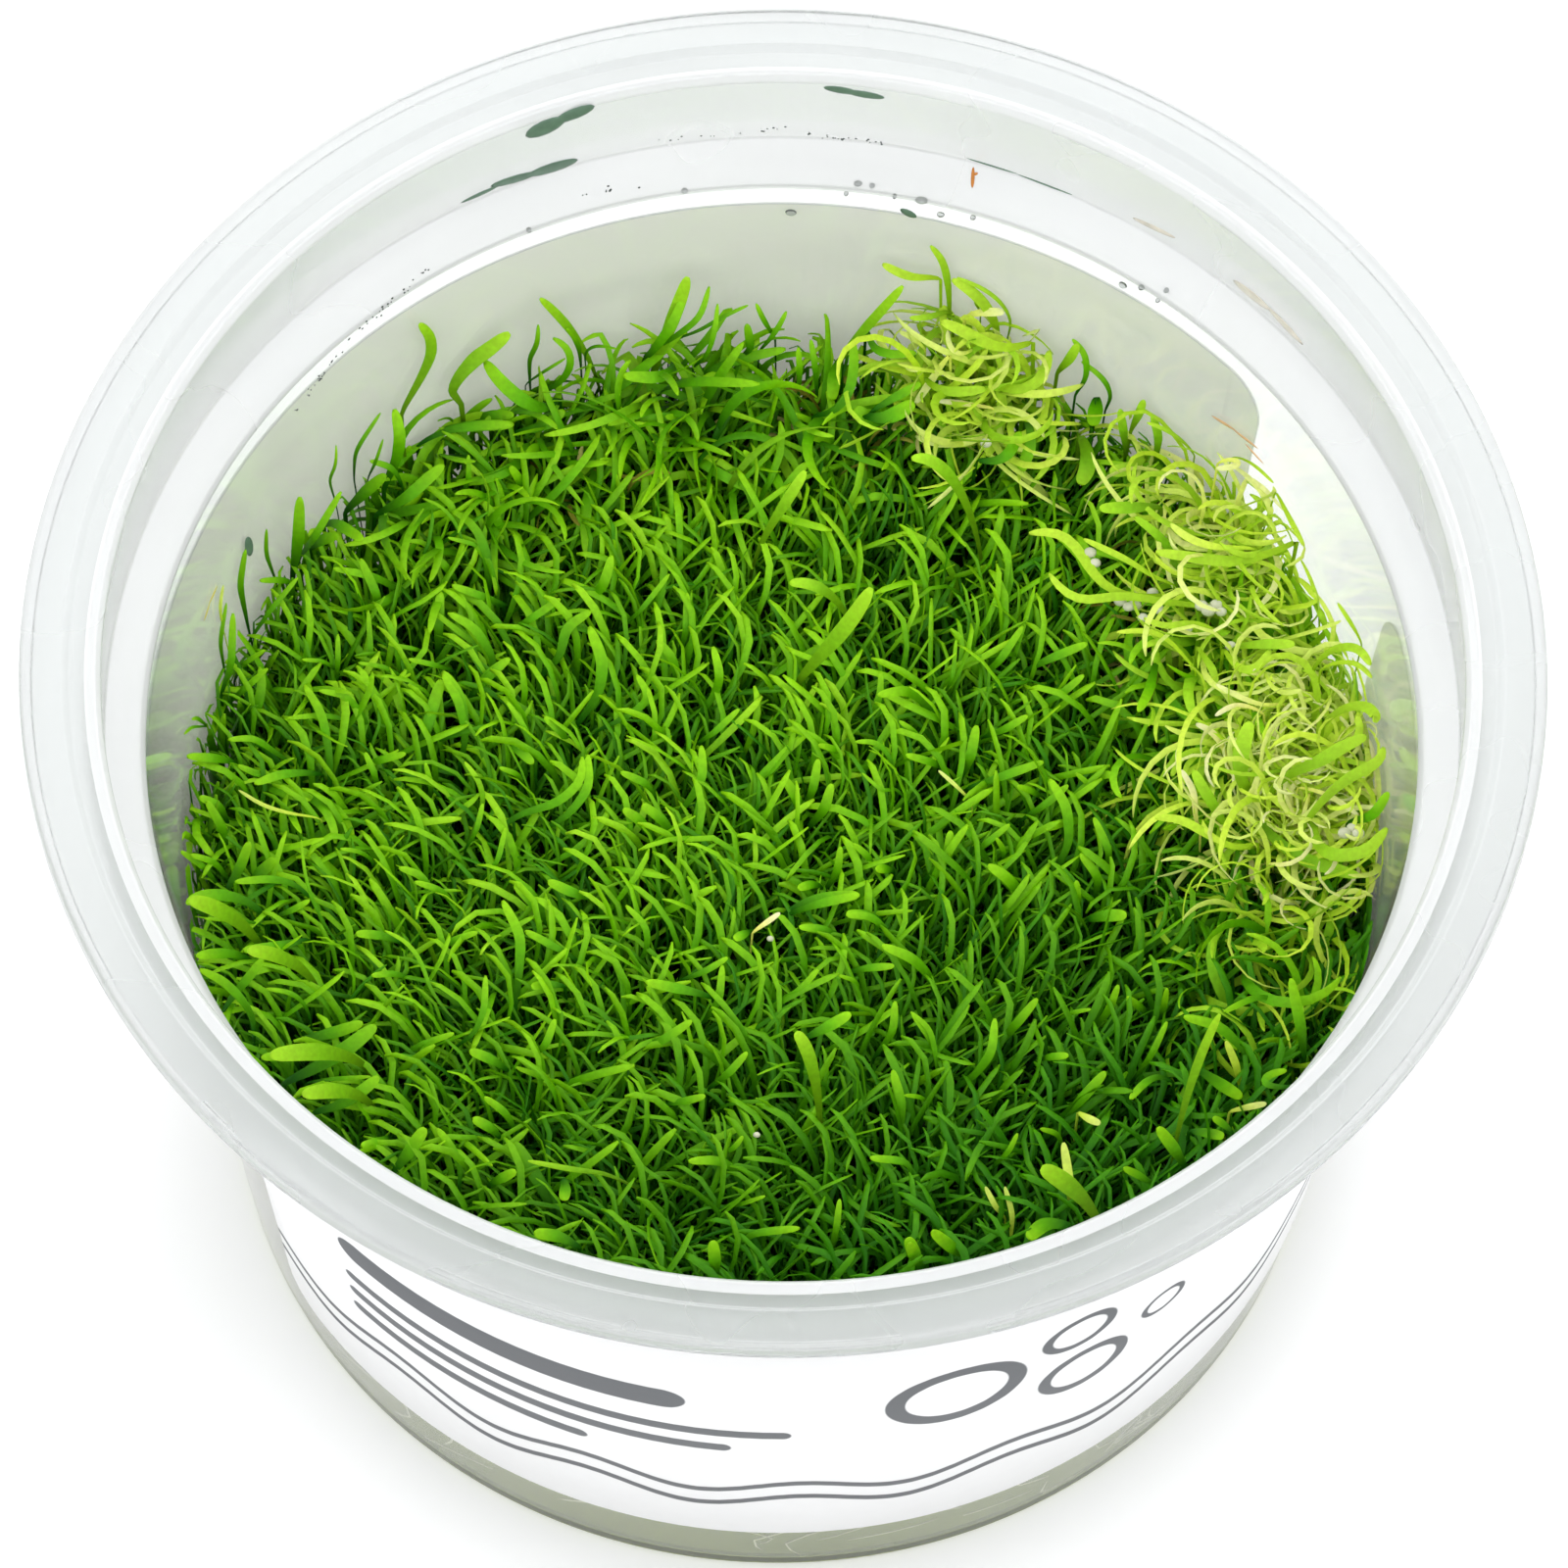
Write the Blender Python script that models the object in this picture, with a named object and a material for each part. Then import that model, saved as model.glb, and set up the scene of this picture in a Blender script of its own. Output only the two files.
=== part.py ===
# Grass-leaved bladderwort growing on gel in a clear culture cup with two labels.
# Metres, +Z up. The origin is the centre of the cup's underside, and the front label faces -Y.
# Angles are in degrees about +Z, counted from +X: the front is 270 and the back is 90.

import math

import bmesh
import bpy
from mathutils import Vector

MM = 0.001

# Cup: the wall is a cone, so its radius is given at the floor with its growth per unit of height.
CUP_HEIGHT = 60.5 * MM
RIM_RADIUS = 50.5 * MM
RIM_FLAT_INNER = 47.7 * MM
MOUTH_RADIUS = 45.1 * MM
COLLAR_DEPTH = 8.2 * MM
LEDGE_RADIUS = 43.1 * MM
WALL_RADIUS_AT_FLOOR = 37.4 * MM
WALL_TAPER = 0.112
WALL_THICKNESS = 0.6 * MM
FLOOR_THICKNESS = 0.9 * MM
SKIRT_HEIGHT = 1.4 * MM
ROUND_STEPS = 64

# Labels: films wrapped round the outside of the wall.
LABEL_LOW = 7.45 * MM
LABEL_HIGH = 47.6 * MM
LABEL_THICKNESS = 0.2 * MM
LABEL_CORNER = 3.0 * MM
LABEL_STEP = 6.0
FRONT_LABEL_SPAN = (212.2, 376.8)
BACK_LABEL_SPAN = (41.0, 188.0)

# Space kept between pieces that touch.
GAP = 0.3 * MM

# Growing layers, from the cup's floor up.
GEL_TOP = 19.5 * MM
GEL_MENISCUS = 0.9 * MM
MAT_THICKNESS = 2.0 * MM
MAT_ROUGHNESS = 0.25 * MM

# Turf: a middle carpet and growths round it, each reaching the tips of its leaves.
CARPET_RADIUS = 28.9 * MM
CARPET_HEIGHT = 33.0 * MM
CARPET_ROWS = 6
CARPET_STEPS = 40
RING_ROWS = 4
RING_STEP = 6.0
TUSSOCK_HEIGHT = 0.5 * MM
TUSSOCK_LENGTH = 7.5 * MM
# Growths between the carpet and the wall. The height is where their leaves reach on the wall.
GROWTHS = {
    "back_right_leaves": {"span": (46.7, 61.0), "height": 36.0 * MM, "colour": "leaf"},
    "back_pale_tuft": {"span": (61.7, 77.3), "height": 42.0 * MM, "colour": "pale_leaf"},
    "tall_back_leaves": {"span": (78.0, 140.0), "height": 37.0 * MM, "colour": "leaf"},
    "left_wall_leaves": {"span": (140.7, 184.0), "height": 40.0 * MM, "colour": "leaf"},
    "spoon_leaves": {"span": (184.7, 222.0), "height": 38.0 * MM, "colour": "leaf"},
    "front_wall_leaves": {"span": (222.7, 318.0), "height": 35.0 * MM, "colour": "leaf"},
    "front_right_leaves": {"span": (318.7, 347.3), "height": 37.0 * MM, "colour": "leaf"},
    "right_pale_tuft": {"span": (348.0, 406.0), "height": 41.0 * MM, "colour": "pale_leaf"},
}

# Long leaves that stand out of the turf, in millimetres: where each leaves the turf, its tip, its
# width and how far its middle rises and bows to the left of the way from root to tip.
LONG_LEAVES = [
    {"root": (13.6, 24.1), "tip": (8.4, 26.0, 42.0), "width": 1.2, "rise": 4.5, "bow": -1.5},
    {"root": (-2.5, 23.4), "tip": (1.2, 26.0, 40.0), "width": 1.1, "rise": 1.0, "bow": -0.8},
    {"root": (0.0, 13.3), "tip": (5.8, 15.9, 42.0), "width": 1.6, "rise": -0.5, "bow": -1.6},
    {"root": (4.9, 18.6), "tip": (0.3, 18.9, 37.0), "width": 1.1, "rise": 2.5, "bow": 0.0},
    {"root": (-10.0, 36.4), "tip": (-7.1, 39.6, 42.5), "width": 1.4, "rise": 0.5, "bow": -0.6},
    {"root": (-25.6, 29.6), "tip": (-25.1, 33.0, 47.0), "width": 1.1, "rise": 0.5, "bow": -1.5},
    {"root": (-22.6, 31.0), "tip": (-18.9, 35.0, 41.5), "width": 1.5, "rise": 2.5, "bow": 0.8},
    {"root": (-12.8, 37.0), "tip": (-17.1, 36.8, 44.0), "width": 0.9, "rise": 0.5, "bow": -0.4},
    {"root": (2.2, 37.6), "tip": (7.6, 38.6, 43.6), "width": 1.0, "rise": -0.6, "bow": -0.3},
    {"root": (3.2, -20.5), "tip": (1.3, -18.0, 42.0), "width": 1.3, "rise": 2.8, "bow": -0.6},
    {"root": (22.4, -27.2), "tip": (17.8, -26.2, 39.0), "width": 1.8, "rise": 1.6, "bow": 0.3},
    {"root": (26.6, -22.2), "tip": (29.5, -16.5, 43.0), "width": 0.9, "rise": 0.6, "bow": 0.6},
    {"root": (-26.7, -16.1), "tip": (-33.6, -20.3, 41.5), "width": 1.7, "rise": 1.8, "bow": 0.4},
    {"root": (-26.4, -19.0), "tip": (-31.4, -22.6, 40.4), "width": 1.5, "rise": 1.4, "bow": 0.2},
    {"root": (-34.2, -7.6), "tip": (-39.4, -9.0, 42.0), "width": 1.6, "rise": 1.6, "bow": 0.0},
    {"root": (-30.5, -10.2), "tip": (-35.4, -12.2, 41.0), "width": 1.4, "rise": 1.5, "bow": 0.0},
]
LEAF_CLEARANCE = 0.8 * MM
LEAF_RINGS = 8
LEAF_SIDES = 6
LEAF_FLATNESS = 0.35

SMOOTH_ANGLE = math.radians(35)

COLOURS = {
    "cup_plastic": {"colour": (0.86, 0.9, 0.88), "roughness": 0.12, "transmission": 0.9},
    "label_film": {"colour": (0.72, 0.72, 0.72), "roughness": 0.45, "transmission": 0.0},
    "gel": {"colour": (0.5, 0.52, 0.36), "roughness": 0.2, "transmission": 0.3},
    "runners": {"colour": (0.3, 0.32, 0.14), "roughness": 0.7, "transmission": 0.0},
    "leaf": {"colour": (0.12, 0.36, 0.02), "roughness": 0.4, "transmission": 0.0},
    "pale_leaf": {"colour": (0.5, 0.62, 0.18), "roughness": 0.4, "transmission": 0.0},
}


def clear_scene():
    for item in list(bpy.data.objects):
        bpy.data.objects.remove(item, do_unlink=True)


def make_materials():
    made = {}
    for name, look in COLOURS.items():
        material = bpy.data.materials.new(name)
        material.use_nodes = True
        shader = material.node_tree.nodes["Principled BSDF"]
        shader.inputs["Base Color"].default_value = (*look["colour"], 1.0)
        shader.inputs["Roughness"].default_value = look["roughness"]
        shader.inputs["Metallic"].default_value = 0.0
        shader.inputs["Transmission Weight"].default_value = look["transmission"]
        made[name] = material
    return made


def loft(name, sections, material, whole_turn=False):
    """One closed body through sections that all have the same number of points.

    A whole turn joins the last section to the first, and its sections are open lines that start
    and end on the axis. Otherwise each section is a closed outline and the two ends are capped."""
    bm = bmesh.new()
    rings = []
    for section in sections:
        rings.append([bm.verts.new(point) for point in section])
    pairs = list(zip(rings, rings[1:]))
    if whole_turn:
        pairs.append((rings[-1], rings[0]))
    count = len(rings[0])
    for ring, following in pairs:
        for index in range(count - 1 if whole_turn else count):
            after = (index + 1) % count
            bm.faces.new((ring[index], ring[after], following[after], following[index]))
    if not whole_turn:
        bm.faces.new(rings[0])
        bm.faces.new(rings[-1])
    bmesh.ops.remove_doubles(bm, verts=bm.verts, dist=1e-6)
    bmesh.ops.recalc_face_normals(bm, faces=bm.faces)
    mesh = bpy.data.meshes.new(name)
    bm.to_mesh(mesh)
    bm.free()
    mesh.shade_smooth()
    mesh.set_sharp_from_angle(angle=SMOOTH_ANGLE)
    mesh.materials.append(material)
    made = bpy.data.objects.new(name, mesh)
    bpy.context.scene.collection.objects.link(made)
    return made


def on_circle(radius, degrees, height):
    turn = math.radians(degrees)
    return Vector((radius * math.cos(turn), radius * math.sin(turn), height))


def turned(name, profile, material, steps=ROUND_STEPS):
    """A body of revolution. The profile is (radius, height) points from axis to axis."""
    sections = []
    for step in range(steps):
        degrees = 360.0 * step / steps
        sections.append([on_circle(radius, degrees, height) for radius, height in profile])
    return loft(name, sections, material, whole_turn=True)


def arc(centre_r, centre_z, radius, start, end, steps):
    """Points of a circle in the profile plane, its angles counted from the outward direction."""
    points = []
    for step in range(steps + 1):
        turn = math.radians(start + (end - start) * step / steps)
        points.append((centre_r + radius * math.cos(turn), centre_z + radius * math.sin(turn)))
    return points


def wall_outside(height):
    return WALL_RADIUS_AT_FLOOR + WALL_TAPER * height


def wall_inside(height):
    return wall_outside(height) - WALL_THICKNESS


def make_cup(material):
    shell = 0.8 * MM
    collar_low = CUP_HEIGHT - COLLAR_DEPTH
    foot = 1.0 * MM
    ledge_low = collar_low - 1.4 * MM
    skirt_low = CUP_HEIGHT - SKIRT_HEIGHT
    bead = MOUTH_RADIUS + 0.4 * MM
    bead_top = CUP_HEIGHT - 0.5 * MM
    groove = CUP_HEIGHT - 0.8 * MM
    profile = [(0.0, 0.0)]
    profile += arc(wall_outside(foot) - foot, foot, foot, -90, 0, 2)
    profile += [
        (wall_outside(ledge_low - 1.0 * MM), ledge_low - 1.0 * MM),
        (LEDGE_RADIUS + shell, ledge_low - 0.3 * MM),
        (MOUTH_RADIUS + shell, collar_low - 0.6 * MM),
        (MOUTH_RADIUS + shell, skirt_low + 0.3 * MM),
        (RIM_RADIUS - shell, skirt_low + 0.3 * MM),
        (RIM_RADIUS - shell, skirt_low),
        (RIM_RADIUS, skirt_low),
        (RIM_RADIUS, CUP_HEIGHT - 0.3 * MM),
        (RIM_RADIUS - 0.3 * MM, CUP_HEIGHT),
        (RIM_FLAT_INNER, CUP_HEIGHT),
        (RIM_FLAT_INNER - 0.5 * MM, groove),
        (bead + 0.7 * MM, groove),
        (bead, bead_top),
        (MOUTH_RADIUS, bead_top - 0.5 * MM),
        (MOUTH_RADIUS, collar_low),
        (LEDGE_RADIUS, ledge_low),
        (wall_inside(ledge_low - 0.8 * MM), ledge_low - 0.8 * MM),
    ]
    fillet = 0.9 * MM
    fillet_z = FLOOR_THICKNESS + fillet
    profile += arc(wall_inside(fillet_z) - fillet, fillet_z, fillet, 0, -90, 2)
    profile.append((0.0, FLOOR_THICKNESS))
    return turned("cup", profile, material)


def label_edge(across):
    """How far a rounded corner cuts into the label's height, at this way in from its end."""
    if across >= LABEL_CORNER:
        return 0.0
    rest = LABEL_CORNER - across
    return LABEL_CORNER - math.sqrt(LABEL_CORNER ** 2 - rest ** 2)


def make_label(name, span, material):
    start, end = span
    per_degree = wall_outside((LABEL_LOW + LABEL_HIGH) / 2) * math.radians(1)
    corner = LABEL_CORNER / per_degree
    ways_in = [0.02, 0.15, 0.4, 0.7, 1.0]
    middle = round((end - start - 2 * corner) / LABEL_STEP)
    stops = [start + corner * way for way in ways_in]
    for step in range(1, middle):
        stops.append(start + corner + (end - start - 2 * corner) * step / middle)
    stops += [end - corner * way for way in reversed(ways_in)]
    sections = []
    for degrees in stops:
        cut = label_edge(min(degrees - start, end - degrees) * per_degree)
        low = LABEL_LOW + cut
        high = LABEL_HIGH - cut
        near = wall_outside(low) + GAP
        far = wall_outside(high) + GAP
        sections.append([
            on_circle(near, degrees, low),
            on_circle(near + LABEL_THICKNESS, degrees, low),
            on_circle(far + LABEL_THICKNESS, degrees, high),
            on_circle(far, degrees, high),
        ])
    return loft(name, sections, material)


def make_gel(material):
    low = FLOOR_THICKNESS + GAP
    heel = 1.3 * MM
    profile = [
        (0.0, low),
        (wall_inside(low) - GAP - heel, low),
        (wall_inside(low + heel) - GAP, low + heel),
        (wall_inside(GEL_TOP + GEL_MENISCUS) - GAP, GEL_TOP + GEL_MENISCUS),
        (wall_inside(GEL_TOP) - 1.4 * MM, GEL_TOP + 0.2 * MM),
        (wall_inside(GEL_TOP) - 4.0 * MM, GEL_TOP),
        (0.0, GEL_TOP),
    ]
    return turned("nutrient_gel", profile, material)


def ripple(point, length):
    return math.sin(point.x / length * 2.1 + 0.7) * math.sin(point.y / length * 1.9 + 0.3)


def make_mat(material):
    """The felt of runners, with a shallow dish under it for the gel's raised edge."""
    low = GEL_TOP + GAP
    lift = low + GEL_MENISCUS + 0.1 * MM
    top = low + MAT_THICKNESS
    sections = []
    for step in range(CARPET_STEPS):
        degrees = 360.0 * step / CARPET_STEPS
        edge = wall_inside(lift) - GAP
        section = [
            on_circle(0.0, degrees, low),
            on_circle(edge - 4.6 * MM, degrees, low),
            on_circle(edge - 1.6 * MM, degrees, low + 0.35 * MM),
            on_circle(edge - 0.1 * MM, degrees, lift),
        ]
        for row in range(4):
            point = on_circle((edge - 0.1 * MM) * (1 - row / 4), degrees, top)
            point.z += MAT_ROUGHNESS * ripple(point, 5.0 * MM)
            section.append(point)
        section.append(on_circle(0.0, degrees, top))
        sections.append(section)
    return loft("runner_mat", sections, material, whole_turn=True)


def growth_inner():
    return CARPET_RADIUS + GAP + 0.05 * MM


def growth_outer(height):
    return wall_inside(height) - GAP - 0.05 * MM


def turf_top(radius, degrees, height=CARPET_HEIGHT):
    """The point on the leaf tips: level on the carpet, and rising to its height on the wall."""
    part = (radius - growth_inner()) / (growth_outer(height) - growth_inner())
    rise = max(part, 0.0) ** 0.8
    point = on_circle(radius, degrees, CARPET_HEIGHT + (height - CARPET_HEIGHT) * rise)
    point.z += TUSSOCK_HEIGHT * ripple(point, TUSSOCK_LENGTH)
    return point


def turf_floor():
    return GEL_TOP + GAP + MAT_THICKNESS + MAT_ROUGHNESS + GAP


def make_carpet(material):
    low = turf_floor()
    sections = []
    for step in range(CARPET_STEPS):
        degrees = 360.0 * step / CARPET_STEPS
        section = [on_circle(0.0, degrees, low), on_circle(CARPET_RADIUS, degrees, low)]
        for row in range(CARPET_ROWS):
            radius = CARPET_RADIUS * (1 - row / CARPET_ROWS)
            section.append(turf_top(radius, degrees))
        section.append(turf_top(0.0, degrees))
        sections.append(section)
    return loft("short_leaf_carpet", sections, material, whole_turn=True)


def make_growth(name, span, height, material):
    """A stretch of the ring between the carpet and the wall, whose outside follows the wall."""
    low = turf_floor()
    inner = growth_inner()
    outer = growth_outer(height)
    start, end = span
    steps = math.ceil((end - start) / RING_STEP)
    sections = []
    for step in range(steps + 1):
        degrees = start + (end - start) * step / steps
        section = [on_circle(inner, degrees, low), on_circle(growth_outer(low), degrees, low)]
        for row in range(RING_ROWS + 1):
            radius = outer + (inner - outer) * row / RING_ROWS
            section.append(turf_top(radius, degrees, height))
        sections.append(section)
    return loft(name, sections, material)


def leaf_root(x, y):
    """Where a long leaf leaves the turf under it."""
    radius = math.hypot(x, y) * MM
    degrees = math.degrees(math.atan2(y, x))
    height = CARPET_HEIGHT
    for growth in GROWTHS.values():
        start, end = growth["span"]
        if radius > CARPET_RADIUS and (degrees - start) % 360 < end - start:
            height = growth["height"]
    root = turf_top(radius, degrees, height)
    root.z += LEAF_CLEARANCE
    return root


def make_long_leaf(name, plan, material):
    """A flattened, pointed blade along one smooth curve from its root to its tip."""
    root = leaf_root(*plan["root"])
    tip = Vector(plan["tip"]) * MM
    along = tip - root
    left = Vector((-along.y, along.x, 0.0)).normalized()
    middle = (root + tip) / 2
    middle += Vector((0.0, 0.0, plan["rise"] * MM)) + left * plan["bow"] * MM
    width = plan["width"] * MM
    sections = []
    for ring in range(LEAF_RINGS + 1):
        part = ring / LEAF_RINGS
        centre = (1 - part) ** 2 * root + 2 * part * (1 - part) * middle + part ** 2 * tip
        way = ((1 - part) * (middle - root) + part * (tip - middle)).normalized()
        side = way.cross(Vector((0.0, 0.0, 1.0))).normalized()
        up = side.cross(way)
        half = width / 2 * (0.22 + 0.78 * math.sin(math.pi * (0.08 + 0.84 * part)) ** 0.8)
        section = []
        for corner in range(LEAF_SIDES):
            turn = 2 * math.pi * corner / LEAF_SIDES
            spot = centre + side * half * math.cos(turn)
            section.append(spot + up * half * LEAF_FLATNESS * math.sin(turn))
        sections.append(section)
    return loft(name, sections, material)


def main():
    clear_scene()
    materials = make_materials()
    make_cup(materials["cup_plastic"])
    make_label("front_label", FRONT_LABEL_SPAN, materials["label_film"])
    make_label("back_label", BACK_LABEL_SPAN, materials["label_film"])
    make_gel(materials["gel"])
    make_mat(materials["runners"])
    make_carpet(materials["leaf"])
    for name, growth in GROWTHS.items():
        make_growth(name, growth["span"], growth["height"], materials[growth["colour"]])
    for number, plan in enumerate(LONG_LEAVES, start=1):
        make_long_leaf(f"long_leaf_{number:02d}", plan, materials["leaf"])


main()
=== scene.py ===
import math
import bmesh
import bpy
import numpy as np
from mathutils import Matrix, Vector


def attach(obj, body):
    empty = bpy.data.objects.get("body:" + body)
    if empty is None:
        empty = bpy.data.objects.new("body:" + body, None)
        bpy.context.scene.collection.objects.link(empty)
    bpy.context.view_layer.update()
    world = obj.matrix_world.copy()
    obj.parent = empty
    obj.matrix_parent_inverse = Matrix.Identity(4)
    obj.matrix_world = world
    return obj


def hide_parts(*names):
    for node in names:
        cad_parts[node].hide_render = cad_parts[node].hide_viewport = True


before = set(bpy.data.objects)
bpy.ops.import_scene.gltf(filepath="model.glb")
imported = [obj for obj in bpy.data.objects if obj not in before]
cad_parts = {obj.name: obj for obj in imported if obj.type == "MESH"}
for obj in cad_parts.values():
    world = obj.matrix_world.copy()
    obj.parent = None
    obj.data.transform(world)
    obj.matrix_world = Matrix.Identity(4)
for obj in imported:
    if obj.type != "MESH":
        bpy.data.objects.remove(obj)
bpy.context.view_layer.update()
mm = 0.001


# Shader maths: a Signal is one socket, and Python's operators on it add Math nodes
class Signal:
    def __init__(self, finish, socket):
        self.finish = finish
        self.socket = socket

    def __add__(self, other):
        return self.finish.maths("ADD", self, other)

    def __sub__(self, other):
        return self.finish.maths("SUBTRACT", self, other)

    def __rsub__(self, other):
        return self.finish.maths("SUBTRACT", other, self)

    def __mul__(self, other):
        return self.finish.maths("MULTIPLY", self, other)

    def __truediv__(self, other):
        return self.finish.maths("DIVIDE", self, other)

    __radd__ = __add__
    __rmul__ = __mul__

    def under(self, limit, soft):     # 1 below the limit, 0 above it, over a soft edge
        return 1 - self.over(limit, soft)

    def over(self, limit, soft):
        return self.finish.between(self, limit - soft / 2, limit + soft / 2)


class Finish:                         # a material and the nodes that make it
    def __init__(self, name):
        self.material = bpy.data.materials.new(name)
        self.material.use_nodes = True
        self.tree = self.material.node_tree
        self.tree.nodes.clear()

    def node(self, kind, settings=None, inputs=None):
        made = self.tree.nodes.new("ShaderNode" + kind)
        for key, value in (settings or {}).items():
            if key == "stops":
                for extra in value[2:]:
                    made.color_ramp.elements.new(extra[0])
                for stop, (place, shade) in zip(made.color_ramp.elements, value):
                    stop.position = place
                    stop.color = (*shade, 1.0)
            else:
                setattr(made, key, value)
        for key, value in (inputs or {}).items():
            self.feed(made.inputs[key], value)
        return made

    def feed(self, socket, value):
        if isinstance(value, Signal):
            value = value.socket
        if isinstance(value, bpy.types.NodeSocket):
            self.tree.links.new(value, socket)
        elif socket.type == "RGBA":
            socket.default_value = (*value, 1.0)
        else:
            socket.default_value = value

    def maths(self, operation, *values):
        made = self.node("Math", {"operation": operation}, dict(enumerate(values)))
        return Signal(self, made.outputs[0])

    def between(self, signal, low, high):   # 0 up to low, 1 from high on
        made = self.node("MapRange", {"clamp": True}, {0: signal, 1: low, 2: high})
        return Signal(self, made.outputs[0])

    def blend(self, share, first, second):
        made = self.node("Mix", {"data_type": "RGBA"}, {0: share, 6: first, 7: second})
        return made.outputs[2]

    def ramp(self, stops, place):
        return self.node("ValToRGB", {"stops": stops}, {0: place}).outputs[0]

    def noise(self, scale, detail=2.0):
        place = self.node("TexCoord").outputs["Object"]
        made = self.node("TexNoise", None, {"Vector": place, "Scale": scale, "Detail": detail})
        return Signal(self, made.outputs[0])

    def mottle(self, shade, scale, darker=0.82, lighter=1.12):   # the shade in slightly uneven patches
        cloud = self.between(self.noise(scale, 3.0), 0.3, 0.7)
        return self.blend(cloud, deeper(shade, darker), deeper(shade, lighter))

    def streaks(self, around, across, detail=2.0, slant=0.7):   # noise drawn out round the axis
        x, y, z = self.parts(self.node("TexCoord").outputs["Object"])
        radius = self.maths("SQRT", x * x + y * y)
        inputs = {0: x / radius * around, 1: y / radius * around, 2: (radius + z * slant) * across}
        place = self.node("CombineXYZ", None, inputs).outputs[0]
        made = self.node("TexNoise", None, {"Vector": place, "Scale": 1.0, "Detail": detail})
        return Signal(self, made.outputs[0])

    def parts(self, vector):
        made = self.node("SeparateXYZ", None, {0: vector})
        return [Signal(self, socket) for socket in made.outputs]

    def leafPlace(self):              # a leaf's tone, and how far up from its root
        return self.parts(self.node("UVMap", {"uv_map": "OFBake"}).outputs[0])[:2]

    def bump(self, height, distance, strength=1.0):
        inputs = {"Height": height, "Distance": distance, "Strength": strength}
        return self.node("Bump", None, inputs).outputs[0]

    def surface(self, inputs):
        shader = self.node("BsdfPrincipled", None, inputs)
        self.node("OutputMaterial", None, {"Surface": shader.outputs[0]})
        return self.material


def tint(red, green, blue):           # a colour as picked on screen, 0 to 255
    return tuple(round((part / 255) ** 2.2, 4) for part in (red, green, blue))


def deeper(shade, share):             # the same colour, darker below 1 and lighter above it
    return tuple(min(part * share, 1) for part in shade)


def mottledFinish(name, shade, scale, inputs):
    paint = Finish(name)
    return paint.surface({"Base Color": paint.mottle(shade, scale), **inputs})


def addPiece(name, mesh, materials, replaced=()):
    for material in materials:
        mesh.materials.append(material)
    piece = bpy.data.objects.new(name, mesh)
    bpy.context.scene.collection.objects.link(piece)
    if replaced:
        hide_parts(*replaced)
    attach(piece, "root")
    return piece


def toMesh(name, bm):
    mesh = bpy.data.meshes.new(name)
    bm.to_mesh(mesh)
    bm.free()
    mesh.shade_smooth()
    return mesh


# Camera, floor and light
studio = {
    "aim": (0.19 * mm, 0.0, 43.36 * mm),
    "distance": 1.0,
    "elevation": 61.83,
    "roll": 1.17,
    "lens": 342.45,
    "sensor": 36.0,
    "nearClip": 0.01,
    "photoSize": 1600,
    "floorSize": 6.0,
    "floorDrop": 0.05 * mm,           # keeps the floor just clear of the base
    "floorTint": tint(250, 250, 250),
    "floorShade": tint(235, 235, 235),
    "floorCloud": 0.04,
    "floorGrain": 60.0,
    "floorGlow": 0.14,                # keeps the cup's shadow as faint as the photograph's
    "skyTint": tint(252, 253, 255),
    "skyStrength": 1.3,
}


def setStage():
    scene = bpy.context.scene
    scene.view_settings.view_transform = "Standard"
    world = bpy.data.worlds.new("softbox")
    scene.world = world
    world.use_nodes = True
    sky = world.node_tree.nodes["Background"]
    sky.inputs["Color"].default_value = (*studio["skyTint"], 1.0)
    sky.inputs["Strength"].default_value = studio["skyStrength"]

    bm = bmesh.new()
    bmesh.ops.create_grid(bm, x_segments=1, y_segments=1, size=studio["floorSize"] / 2)
    bmesh.ops.translate(bm, vec=(0, 0, -studio["floorDrop"]), verts=bm.verts)
    mesh = toMesh("floor", bm)
    paint = Finish("paleFloor")
    cloud = paint.noise(studio["floorGrain"]) * studio["floorCloud"]
    mesh.materials.append(paint.surface({
        "Base Color": paint.blend(cloud, studio["floorTint"], studio["floorShade"]),
        "Roughness": 0.8,
        "Emission Color": studio["floorTint"],
        "Emission Strength": studio["floorGlow"],
    }))
    floor = bpy.data.objects.new("floor", mesh)
    scene.collection.objects.link(floor)

    lens = bpy.data.cameras.new("photoCamera")
    lens.lens = studio["lens"]
    lens.clip_start = studio["nearClip"]
    camera = bpy.data.objects.new("photoCamera", lens)
    tilt = math.radians(studio["elevation"])
    roll = math.radians(studio["roll"])
    back = Vector((0, -math.cos(tilt), math.sin(tilt))) * studio["distance"]
    turn = Matrix.Rotation(math.pi / 2 - tilt, 4, "X") @ Matrix.Rotation(roll, 4, "Z")
    camera.matrix_world = Matrix.Translation(Vector(studio["aim"]) + back) @ turn
    scene.collection.objects.link(camera)
    scene.camera = camera
    bpy.context.view_layer.update()
    print("stage set")


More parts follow.
